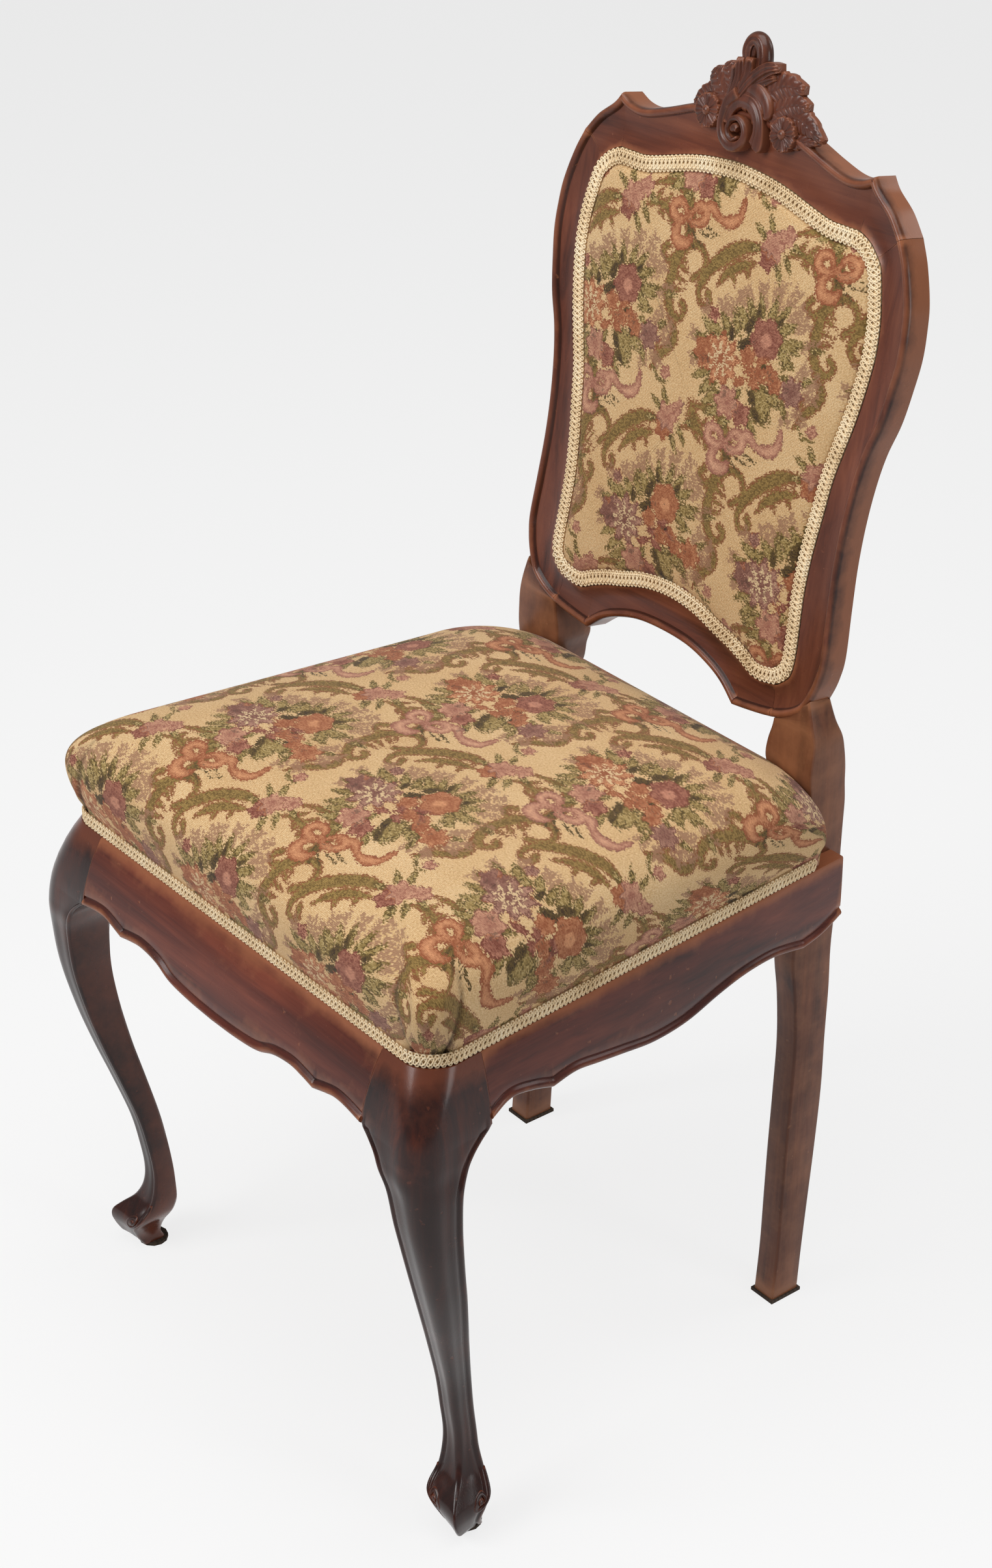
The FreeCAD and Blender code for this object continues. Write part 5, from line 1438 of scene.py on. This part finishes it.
# Crest carving, in the plane of the back: (across, up), with depth out from the crest's face
def petals_and_button(x, up, radius, count, turn, lift):
    """A flower in the round: grooved petals about a domed button."""
    parts = []
    wide = radius * math.tan(math.pi / count)
    for angle in np.radians(turn + 360.0 * np.arange(count) / count):
        path = [(x + math.cos(angle) * radius * r, up + math.sin(angle) * radius * r)
                for r in (0.12, 0.45, 0.75, 1.0)]
        parts.append(blade(path, (wide * 0.3, wide * 0.72, wide * 1.0, wide * 0.62), lift, 1.7,
                           grooves=3, groove=0.55, back=8.0, steps=5))
    rings = []
    for angle in math.pi / 2 * np.arange(7) / 6:
        reach, height = radius * 0.30 * math.cos(angle), 2.6 * math.sin(angle)
        rings.append([(x + reach * math.cos(a), -(lift + 1.0 + height), up + reach * math.sin(a))
                      for a in np.linspace(0, 2 * math.pi, 17)[:-1]])
    rings.insert(0, [(px, 6.0, pz) for px, _, pz in rings[0]])
    return parts + [solid(rings)]


def crook():
    """The hooked finial: an oval stem with three grooves that curls over into a bulb."""
    table = [(7.2, 458.0, 5.8, 6.4), (7.4, 467.0, 6.0, 6.4), (7.0, 474.0, 6.1, 6.4),
             (5.0, 480.4, 6.2, 6.3), (1.4, 484.4, 6.3, 6.2), (-2.8, 485.2, 6.4, 6.2),
             (-6.2, 482.6, 6.8, 6.4), (-7.6, 478.2, 7.2, 6.9), (-7.4, 473.8, 6.9, 6.8),
             (-6.6, 470.2, 5.4, 5.6), (-6.0, 468.0, 3.2, 3.6), (-5.8, 467.2, 0.8, 1.0)]
    rows = smooth_rows(table, 7)
    rings = []
    for (x, up, wide, deep), (nx, nz) in zip(rows, side_of(rows[:, :2])[1]):
        ring = []
        for turn in np.linspace(0, 2 * math.pi, 33)[:-1]:
            reach = 1 - 0.13 * max(math.exp(-((turn - groove) / 0.12) ** 2)
                                   for groove in (0.75, 1.25, 1.75))
            t, d = wide * math.cos(turn) * reach, deep * math.sin(turn) * reach
            ring.append((x + nx * t, 5.0 - d, up + nz * t))
        rings.append(ring)
    return solid(rings)


def crest_carving():
    # Veined leaves behind: (path, half widths, lift, rise, teeth, tooth, veins, vein, steps)
    parts = [blade(path, widths, lift, rise, steps=steps, teeth=teeth, tooth=tooth, veins=veins,
                   vein=vein)
             for path, widths, lift, rise, teeth, tooth, veins, vein, steps in (
        ([(-18, 436), (-27, 446), (-35, 454.5), (-38.5, 458)], (8, 11, 10, 4), -1.5, 2.6,
         5, 0.12, 7, 0.6, 14),
        ([(-13, 440), (-17.5, 452), (-23, 461.5), (-25.5, 465.5)], (6, 8.5, 8, 3), -1.0, 2.6,
         4, 0.12, 7, 0.6, 14),
        ([(-22, 440), (-35, 441), (-46, 436), (-54.5, 428.5)], (7, 9, 8, 2.4), -2.0, 2.4,
         6, 0.14, 9, 0.6, 14),
        ([(14, 444), (25, 455), (38, 460.5), (54.5, 461.5)], (8, 11.5, 10.5, 3.4), -1.5, 2.6,
         5, 0.13, 8, 0.6, 14),
        ([(22, 436), (37, 445), (49, 449.5), (61.5, 450.5)], (8, 11, 10, 3.0), -1.8, 2.6,
         5, 0.13, 8, 0.6, 14),
        ([(28, 430), (47, 440), (62, 438.5), (80, 430.5)], (7, 9.5, 9, 2.2), -2.2, 2.6,
         6, 0.14, 10, 0.6, 14),
        ([(34, 422), (50, 424.5), (62, 426.5), (75, 428.5)], (4, 7, 5.5, 2), -2.6, 2.2,
         4, 0.2, 7, 0.5, 12))]
    # Ground, crown and scroll: (path, half widths, lift, rise, grooves, groove, steps)
    parts += [blade(*row) for row in (
        # Ground between the leaves, so that no light shows through
        ([(-34, 434), (-12, 444), (12, 446), (38, 436)], (12, 17, 17, 10), -3.2, 1.0),
        # Crown of grooved acanthus blades
        ([(-18, 430), (-16, 446), (-15, 456), (-16.5, 465)], (4, 4.4, 4.2, 3.4), 0.0, 3.4, 2, 0.9),
        ([(-14, 432), (-12.5, 446), (-9.8, 458), (-11, 471.5)], (4.5, 5, 5.2, 3.8), 1.0, 3.6, 3, 1.0),
        ([(-8, 440), (-5, 453), (-2, 462), (-1.5, 473)], (4, 4.4, 4.6, 3.6), 1.4, 3.4, 2, 1.0),
        ([(-6, 444), (2, 455), (10, 463), (19, 469), (28.5, 471.5)],
         (4.5, 5.6, 5.8, 5.2, 3.2), 1.6, 3.6, 3, 1.0),
        ([(2, 449), (9, 456), (17, 460.5), (27, 464.5)], (3.0, 4.2, 4.2, 2.0), 0.6, 3.0, 2, 0.8),
        ([(2, 446), (8, 451.5), (14, 455.5), (18.5, 458)], (2.5, 3.4, 2.8, 1.0), 0.2, 2.6, 1, 0.6),
        # Body of the scroll and its lobe on the right
        ([(-10, 452), (-2, 447), (8, 444), (14, 436), (15.5, 428)], (7, 11, 10.5, 8, 5),
         0.6, 3.2),
        ([(-1, 453), (12, 452), (21.5, 446), (25.0, 438.5), (23.5, 433.5)],
         (5, 6.2, 5.4, 4.2, 1.6), 1.2, 3.0),
        ([(-14.5, 424), (-12, 434.5), (-3, 442), (9, 441.5), (16.5, 434), (19.5, 424),
          (18.8, 414.5), (17.4, 411.5)],
         (4.2, 4.8, 5.0, 5.2, 5.2, 5.4, 6.6, 4.0), 2.6, 2.6, 2, 0.7, 9),
        ([(-6, 447), (-14.5, 439), (-18, 429), (-18.2, 420), (-14.5, 412.5), (-7, 408.5),
          (0.6, 409.6), (6.2, 414.6), (7.0, 421), (3.6, 427), (-2.4, 429.4), (-8.2, 427),
          (-10.8, 421.5), (-9.0, 416.0), (-4.0, 413.6), (0.2, 416.0)],
         (5.4, 4.4, 3.8, 3.8, 4.0, 4.2, 3.8, 3.4, 3.0, 2.7, 2.4, 2.2, 2.0, 1.9, 1.8, 1.2),
         3.4, 3.0, 0, 0.0, 7),
        ([(-7.0, 420.5), (-4.0, 422.2), (-0.8, 421.2)], (2.6, 3.6, 2.4), 2.8, 2.6),
    )]
    parts.append(crook())
    parts += petals_and_button(-37.0, 427.6, 12.6, 8, 10, 1.6)
    parts += petals_and_button(43.0, 427.6, 12.6, 8, 22, 1.6)
    points, faces = joined(parts)
    return raked(points), faces


carving = finished("wood_crest_carving", crest_carving(), 45.0)


# Finishes
def grain_group():
    """Figure and pores of wood; Stretch is short along the grain."""
    nodes, given, result = new_group("wood grain", {"Vector": "Vector", "Stretch": "Vector"},
                                     {"Figure": "Float", "Pores": "Float", "Patch": "Float"})
    long = nodes.scaled(given["Vector"], given["Stretch"])
    broad = nodes.noise(long, 22.0, 5.0, 0.6, 1.4)
    fine = nodes.noise(long, 120.0, 4.0, 0.65, 0.6)
    pores = nodes.times(nodes.noise(long, 620.0, 2.0, 0.6), 2.0)
    nodes.fill(result, Figure=nodes.blended(broad, 0.65, fine, 0.35),
               Pores=nodes.maths("SMOOTH_MIN", pores, 1.0, 0.1),
               Patch=nodes.noise(given["Vector"], 7.0, 3.0, 0.55))
    return nodes.tree


def wear_group():
    """Worn edges and grime in hollows, from how proud each point lies."""
    nodes, given, result = new_group("wear", {"Vector": "Vector", "Proud": "Float"},
                                     {"Worn": "Float", "Hollow": "Float", "Nicks": "Float"})
    uneven = nodes.noise(given["Vector"], 45.0, 4.0, 0.6)
    edge = nodes.maths("ADD", given["Proud"], nodes.maths("MULTIPLY_ADD", uneven, 0.7, -0.42))
    specks = nodes.noise(given["Vector"], 160.0)
    nodes.fill(result, Worn=nodes.between(edge, 0.10, 0.55),
               Hollow=nodes.between(nodes.times(given["Proud"], -1.0), 0.22, 0.65),
               Nicks=nodes.between(specks, 0.70, 0.76))
    return nodes.tree


def ribs_group():
    """Ribs and threads of woven cloth, in threads per metre."""
    nodes, given, result = new_group(
        "woven ribs", {"Vector": "Vector", "Across": "Float", "Up": "Float"}, {"Height": "Float"})
    x, y, _ = nodes.split(given["Vector"])
    wander = nodes.noise(given["Vector"], 30.0)

    def waves(socket, rate, push):
        turns = nodes.blended(socket, rate, wander, push)
        return nodes.maths("ABSOLUTE", nodes.maths("SINE", nodes.times(turns, math.pi)))

    fuzz = nodes.noise(nodes.scaled(given["Vector"], (1.0, 3.0, 1.0)), 1400.0, 2.0, 0.6)
    threads = nodes.blended(waves(x, given["Across"], 1.0), 0.25, fuzz, 0.3)
    nodes.fill(result, Height=nodes.maths("MULTIPLY_ADD", waves(y, given["Up"], 1.5), 0.6, threads))
    return nodes.tree


grain, wear, ribs = grain_group(), wear_group(), ribs_group()


def polished_wood(name, stretch, tones, gloss, coat, spread, side_shade):
    """Stained and polished wood; the last argument is how much painted shade darkens the faces turned
    off the front.
    """
    material, nodes, shader = new_finish("polish " + name)
    dark, middle, light, rubbed = tones
    coords = nodes.coords()
    place = coords["Object"]
    facing = nodes.maths("ABSOLUTE", nodes.split(coords["Normal"])["Y"])
    figure, pores, patch = nodes.placed(grain, Vector=place, Stretch=stretch)
    worn, hollow, nicks = nodes.placed(wear, Vector=place, Proud=nodes.attribute("proud")["Fac"])
    colour = nodes.coats(nodes.ramp(figure, (0.36, dark), (0.5, middle), (0.66, light)),
                         (nodes.times(nodes.between(patch, 0.35, 0.65), spread), dark),
                         # Painted shade: faces turned off the front, such as tops and sides, are
                         # darkened towards (38, 19, 14)
                         (nodes.between(facing, 0.75, 0.35, 0.0, side_shade), (38, 19, 14)),
                         (nodes.times(worn, 0.75), rubbed),
                         (nodes.times(hollow, 0.85), (22, 12, 10)),
                         (nodes.times(nicks, 0.35), rubbed))
    smears = nodes.noise(place, 18.0, 4.0, 0.6)
    rough = nodes.maths("MULTIPLY_ADD", smears, 0.22, gloss - 0.08)
    coated = nodes.maths("SUBTRACT", coat, nodes.times(hollow, 0.3), clamp=True)
    relief = nodes.maths("MULTIPLY_ADD", pores, 0.5, nodes.blended(figure, 0.6, nicks, -0.8))
    nodes.fill(shader, Base_Color=colour, Roughness=nodes.maths("MULTIPLY_ADD", hollow, 0.25, rough),
               Coat_Weight=coated, Coat_Roughness=0.16, Specular_IOR_Level=0.25,
               Normal=nodes.bump(relief, 0.00018, 0.6))
    return material


def plain_wood(name, dark, light):
    material, nodes, shader = new_finish(name)
    figure = nodes.placed(grain, Vector=nodes.coords()["Object"], Stretch=along_z)["Figure"]
    nodes.fill(shader, Base_Color=nodes.ramp(figure, (0.36, dark), (0.64, light)), Roughness=0.62,
               Normal=nodes.bump(figure, 0.0003, 0.6))
    return material


def cloth_finish(name, dark, light, across, up, coordinates, depth):
    material, nodes, shader = new_finish(name)
    place = nodes.coords()[coordinates]
    height = nodes.placed(ribs, Vector=place, Across=across, Up=up)["Height"]
    stains = nodes.noise(place, 9.0, 3.0, 0.6)
    # Colour runs from dark to light with the threads' height, a painted shade between the threads,
    # and with random stains
    colour = nodes.ramp(nodes.blended(height, 0.6, stains, 0.5), (0.25, dark), (0.8, light))
    nodes.fill(shader, Base_Color=colour, Roughness=0.9, Sheen_Weight=0.15,
               Specular_IOR_Level=0.2, Normal=nodes.bump(height, depth, 0.8))
    return material


def braid_finish(name, dark, middle, light):
    material, nodes, shader = new_finish(name)
    place = nodes.coords()["Object"]
    strands = nodes.noise(place, 900.0, 3.0, 0.6)
    age = nodes.noise(place, 30.0, 4.0, 0.6)
    colour = nodes.ramp(nodes.blended(age, 0.6, strands, 0.4),
                        (0.34, dark), (0.5, middle), (0.68, light))
    nodes.fill(shader, Base_Color=colour, Roughness=0.85, Sheen_Weight=0.2,
               Specular_IOR_Level=0.2, Normal=nodes.bump(strands, 0.0003, 0.6))
    return material


def tapestry_finish():
    material, nodes, shader = new_finish("tapestry")
    cloth = nodes.coords()["UV"]
    height = nodes.placed(ribs, Vector=cloth, Across=620.0, Up=900.0)["Height"]
    inside = {}
    for name, words in woven_names.items():
        inside.update(zip(words, nodes.split(nodes.attribute(name)["Vector"])))
    shade, hue, _ = nodes.split(nodes.attribute("woven_tone")["Vector"])
    # Woven edges step from thread to thread
    stepped = nodes.add("ShaderNodeVectorMath", {"operation": "SNAP"}, n0=cloth,
                        n1=(0.0016, 0.0010, 1.0)).outputs[0]
    steps = nodes.add("ShaderNodeTexWhiteNoise", {"noise_dimensions": "2D"},
                      Vector=stepped).outputs["Value"]
    ragged = nodes.maths("MULTIPLY_ADD", steps, 2.4, -1.2)
    flecks = nodes.noise(cloth, 700.0, 2.0, 0.6)
    broad = nodes.noise(cloth, 12.0, 3.0, 0.6)
    tufts = nodes.blended(steps, 0.45, flecks, 0.55)

    def mask(word, inset=0.0):
        """Where a point lies further inside a woven shape than the inset."""
        return nodes.between(nodes.maths("ADD", inside[word], ragged), inset - 0.35, inset + 0.35)

    def yarn(*stops):
        return nodes.ramp(tufts, *stops)

    low = nodes.ramp(hue, (0.0, (120, 66, 52)), (0.33, (146, 84, 54)), (0.66, (120, 78, 66)),
                     (1.0, (152, 98, 80)))
    high = nodes.ramp(hue, (0.0, (194, 136, 110)), (0.33, (208, 148, 106)),
                      (0.66, (180, 136, 114)), (1.0, (210, 160, 128)))
    lit = nodes.maths("ADD", tufts, nodes.maths("SUBTRACT", shade, 0.5), clamp=True)
    hearts = nodes.times(mask("dark", 0.8), mask("petal", 2.5))
    ground = nodes.ramp(nodes.blended(flecks, 0.7, broad, 0.3), (0.34, (186, 146, 98)),
                        (0.5, (210, 174, 126)), (0.66, (224, 194, 150)))
    colour = nodes.coats(
        ground,
        (mask("scroll", -0.8), (134, 84, 52)),
        (mask("scroll", 0.7), yarn((0.35, (108, 84, 44)), (0.65, (148, 120, 68)))),
        (nodes.times(mask("sprig", -0.3), 0.85), (152, 112, 86)),
        (mask("leaf", -0.4), yarn((0.35, (84, 68, 34)), (0.65, (116, 94, 48)))),
        (mask("leaf", 1.0), yarn((0.3, (118, 96, 52)), (0.55, (154, 130, 78)),
                                 (0.75, (184, 160, 110)))),
        (mask("dark"), yarn((0.35, (62, 46, 30)), (0.7, (98, 78, 42)))),
        (mask("petal", -0.6), low),
        (mask("petal", 1.0), nodes.mixed(lit, low, high)),
        (nodes.times(hearts, 0.6), (66, 42, 34)),
        (mask("cream"), (212, 184, 142)))
    shadow = nodes.between(height, 0.15, 0.75, 0.80, 1.06)
    shadow = nodes.add("ShaderNodeCombineColor", Red=shadow, Green=shadow, Blue=shadow).outputs[0]
    # Painted shade in the pleats' folds, darkened towards (58, 42, 28)
    crease_shade = nodes.maths("MULTIPLY", nodes.attribute("pleat_shade")["Fac"], 0.92, clamp=True)
    colour = nodes.coats(nodes.mixed(1.0, colour, shadow, "MULTIPLY"), (crease_shade, (58, 42, 28)))
    nodes.fill(shader, Base_Color=colour, Roughness=0.88, Sheen_Weight=0.12,
               Specular_IOR_Level=0.2, Normal=nodes.bump(height, 0.00035, 0.8))
    return material


def steel_finish():
    material, nodes, shader = new_finish("screw steel")
    dull = nodes.noise(nodes.coords()["Object"], 260.0, 3.0, 0.6)
    nodes.fill(shader, Base_Color=nodes.ramp(dull, (0.35, (108, 104, 98)), (0.65, (166, 162, 154))),
               Metallic=1.0, Roughness=nodes.maths("MULTIPLY_ADD", dull, 0.3, 0.3))
    return material


along_x, along_y, along_z = (0.06, 1.0, 1.0), (1.0, 0.06, 1.0), (1.0, 1.0, 0.06)
rubbed = (158, 98, 66)
warm_tones = ((56, 26, 18), (108, 56, 38), (134, 76, 52), rubbed)
rail_tones = ((50, 20, 15), (92, 40, 28), (122, 60, 42), rubbed)
leg_tones = ((30, 14, 12), (58, 26, 20), (98, 44, 27), (116, 62, 42))
rear_leg_tones = ((56, 28, 18), (104, 58, 37), (134, 82, 54), (154, 102, 70))
carving_tones = ((48, 24, 17), (94, 50, 36), (120, 66, 46), (134, 80, 56))
rear_rail_tones = ((56, 30, 21), (92, 54, 38), (118, 74, 52), rubbed)
# Polishes: (name, grain, tones, roughness, coat, clouds, painted shade on the faces turned off the
# front)
polishes = [("crest", along_x, warm_tones, 0.26, 0.15, 0.5, 0.8),
            ("stile", along_z, warm_tones, 0.26, 0.15, 0.5, 0.8),
            ("front rail", along_x, rail_tones, 0.28, 0.15, 0.5, 0.0),
            ("side rail", along_y, rail_tones, 0.28, 0.15, 0.5, 0.0),
            ("leg", along_z, leg_tones, 0.24, 0.2, 0.75, 0.0),
            ("rear leg", along_z, rear_leg_tones, 0.38, 0.1, 0.5, 0.0),
            ("carving", along_z, carving_tones, 0.28, 0.2, 0.4, 0.6),
            ("rear rail", along_x, rear_rail_tones, 0.42, 0.05, 0.5, 0.0)]
# Cloths: (name, dark, light, threads per metre across and up, coordinates, depth)
cloths = [("jute webbing", (122, 94, 60), (178, 146, 100), 500.0, 500.0, "Object", 0.0004),
          ("hessian", (128, 100, 64), (176, 148, 104), 560.0, 560.0, "UV", 0.0005),
          ("stuffing", (150, 128, 96), (206, 190, 160), 90.0, 70.0, "UV", 0.0012),
          ("back lining", (150, 118, 78), (192, 162, 118), 900.0, 900.0, "UV", 0.0003),
          ("felt", (40, 32, 26), (74, 60, 48), 260.0, 240.0, "Object", 0.0004)]
finish = {row[0]: polished_wood(*row) for row in polishes}
finish.update((row[0], cloth_finish(*row)) for row in cloths)
finish["unpolished wood"] = plain_wood("unpolished wood", (150, 112, 72), (190, 152, 106))
finish["dowel wood"] = plain_wood("dowel wood", (176, 140, 94), (208, 176, 128))
finish["screw steel"] = steel_finish()
finish["gimp"] = braid_finish("gimp cords", (214, 184, 140), (246, 222, 182), (253, 240, 212))
gimp_ground = braid_finish("gimp ground", (168, 136, 94), (204, 172, 126), (226, 198, 154))
finish["tapestry"] = tapestry_finish()


# Upholstery pieces
def bare(line, depth_front, depth_back):
    """A flat panel of cloth on the back: its front and back drawn in towards the middle."""
    rings = [on_plane(drawn_in(line, share), depth_front) for share in cloth_shares]
    rings += [on_plane(drawn_in(line, share), depth_back) for share in reversed(cloth_shares)]
    points, faces = skin(rings)
    uv = points[:, [0, 2]] / 1000
    points = raked(points)
    return points, facing_out(points, faces), uv


def declared_sheet(line):
    """Measures the width and height of a cloth's outline, in metres; the sizes are not kept."""
    wide, tall = np.ptp(line, axis=0) / 1000


cloth_shares = (0.05, 0.3, 0.55, 0.8, 1.0)
hessian_line = inset_line(gimp_line, 0.4)[::2]
back_hessian = make_mesh("cloth_back_hessian", *bare(hessian_line, 5.0, 6.0))
outside_line = inset_line(gimp_line, 2.0)
lining_depths = (back_thickness, back_thickness + 1.2)
outside_cover = make_mesh("cloth_outside_back", *bare(outside_line, *lining_depths))

# The seat's hessian runs to the posts, and between them on a tongue to the rear rail
cloth_end, tongue_reach, tongue_end = 126.0, 126.0, 147.5
tongue = [(tongue_reach, cloth_end), (tongue_reach, tongue_end), (-tongue_reach, tongue_end),
          (-tongue_reach, cloth_end)]
seat_cloth = np.vstack([seat_outline(12.5, cloth_end), tongue])
points, faces = solid([at_height(seat_cloth, height) for height in hessian_heights])
seat_hessian = make_mesh("cloth_seat_hessian", points, faces, points[:, :2] / 1000)

seat_top = seat_cover()
seat_filling = seat_pad()
back_top = back_cover()
back_filling = back_pad()

braids = braid_tree(finish["gimp"], gimp_ground)
gimp_height = seat_height + 5.5
back_braid = braid("gimp_back", raked(on_plane(inset_line(gimp_line, 6.6), 3.8)),
                   same_way(facing_forward), width=12.6, thick=2.4, closed=True)
outside_braid = braid("gimp_outside_back",
                      raked(on_plane(inset_line(gimp_line, 7.0), lining_depths[1])),
                      same_way(-facing_forward), width=9.6, thick=2.0, closed=True)
seat_braid = braid("gimp_seat", at_height(seat_outline(2.6, 125.0), gimp_height), plan_outward,
                   width=10.8, thick=2.5)
rear_line = np.array([(x, seat_tongue + 0.1, gimp_height) for x in np.linspace(-150, 150, 40)])
rear_braid = braid("gimp_rear_seat", rear_line, same_way(np.array([0.0, 1.0, 0.0])),
                   width=10.8, thick=2.4)

# Each piece: its object, finish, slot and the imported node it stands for
polish_of = {"crest_rail": "crest", "lower_back_rail": "crest", "stile": "stile",
             "front_seat_rail": "front rail", "side_seat_rail": "side rail", "front_leg": "leg",
             "rear_leg": "rear leg"}
dressed = [(piece, polish_of[node.removesuffix("_left").removesuffix("_right")],
            "polished_wood", node) for node, piece in wood.items()]
dressed += [
    (carving, "carving", "polished_wood", "crest_carving"),
    (seat_top, "tapestry", "tapestry", "seat_cover"),
    (seat_filling, "stuffing", "stuffing", "seat_stuffing"),
    (back_top, "tapestry", "tapestry", "back_cover"),
    (back_filling, "stuffing", "stuffing", "back_stuffing"),
    (back_hessian, "hessian", "hessian_cloth", "back_hessian"),
    (seat_hessian, "hessian", "hessian_cloth", "seat_hessian"),
    (outside_cover, "back lining", "back_lining", "outside_back_cover"),
    (back_braid, "gimp", "gimp_braid", "back_gimp"),
    (outside_braid, "gimp", "gimp_braid", "outside_back_gimp"),
    (seat_braid, "gimp", "gimp_braid", "seat_gimp"),
    (rear_braid, "gimp", "gimp_braid", "rear_seat_gimp"),
]
for piece, material, slot, node in dressed:
    # A braid's cords and ground already have their materials
    if material != "gimp":
        piece.data.materials.clear()
        piece.data.materials.append(finish[material])
    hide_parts(node)
    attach(piece, "root")
kept = {"rear_seat_rail": "rear rail", "front_corner_blocks": "unpolished wood",
        "rear_corner_blocks": "unpolished wood", "corner_block_screws": "screw steel",
        "seat_frame_dowels": "dowel wood", "back_frame_dowels": "dowel wood",
        "seat_webbing": "jute webbing", "front_felt_pads": "felt", "rear_felt_pads": "felt"}
for node, material in kept.items():
    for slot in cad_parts[node].material_slots:
        slot.material = finish[material]

declared_sheet(hessian_line)
declared_sheet(outside_line)
declared_sheet(seat_cloth)


# Floor, lamps and world
def floor_finish():
    """A matt floor that keeps its shadows and shows as white."""
    material = bpy.data.materials.new("pale floor")
    material.use_nodes = True
    nodes = Nodes(material.node_tree)
    nodes.tree.nodes.clear()
    matt = nodes.add("ShaderNodeBsdfDiffuse", Color=grey(0.86)).outputs[0]
    glow = nodes.add("ShaderNodeEmission", Color=grey(0.97)).outputs[0]
    mix = nodes.add("ShaderNodeMixShader", n0=nodes.times(nodes.seen(), 0.82), n1=matt, n2=glow)
    nodes.add("ShaderNodeOutputMaterial", n0=mix.outputs[0])
    return material


floor_mesh = bpy.data.meshes.new("floor")
floor_mesh.from_pydata([(-9, -9, 0), (9, -9, 0), (9, 9, 0), (-9, 9, 0)], [], [(0, 1, 2, 3)])
floor = bpy.data.objects.new("floor", floor_mesh)
bpy.context.scene.collection.objects.link(floor)
floor_mesh.materials.append(floor_finish())


def lamp(name, place, target, size, power):
    data = bpy.data.lights.new(name, "AREA")
    data.shape = "RECTANGLE"
    data.size, data.size_y = size
    data.energy = power
    item = bpy.data.objects.new(name, data)
    item.location = place
    aim = Vector(target) - Vector(place)
    item.rotation_euler = aim.to_track_quat("-Z", "Y").to_euler()
    bpy.context.scene.collection.objects.link(item)


lamp("main softbox", (-0.6, -2.6, 2.3), (0, 0, 0.5), (1.6, 1.6), 62.0)
lamp("side softbox", (2.7, 0.9, 1.2), (0, 0, 0.5), (0.7, 1.6), 16.0)
lamp("top softbox", (0.3, -0.2, 3.0), (0, 0, 0.4), (2.2, 2.2), 52.0)
lamp("back softbox", (1.0, 2.8, 2.2), (0, 0, 0.5), (1.2, 1.2), 12.0)

world = bpy.data.worlds.new("pale room")
bpy.context.scene.world = world
world.use_nodes = True
room = Nodes(world.node_tree)
room.fill(world.node_tree.nodes["Background"], Color=grey(1.0),
          Strength=room.maths("MULTIPLY_ADD", room.seen(), 0.30, 0.03))
bpy.context.scene.view_settings.view_transform = "Standard"
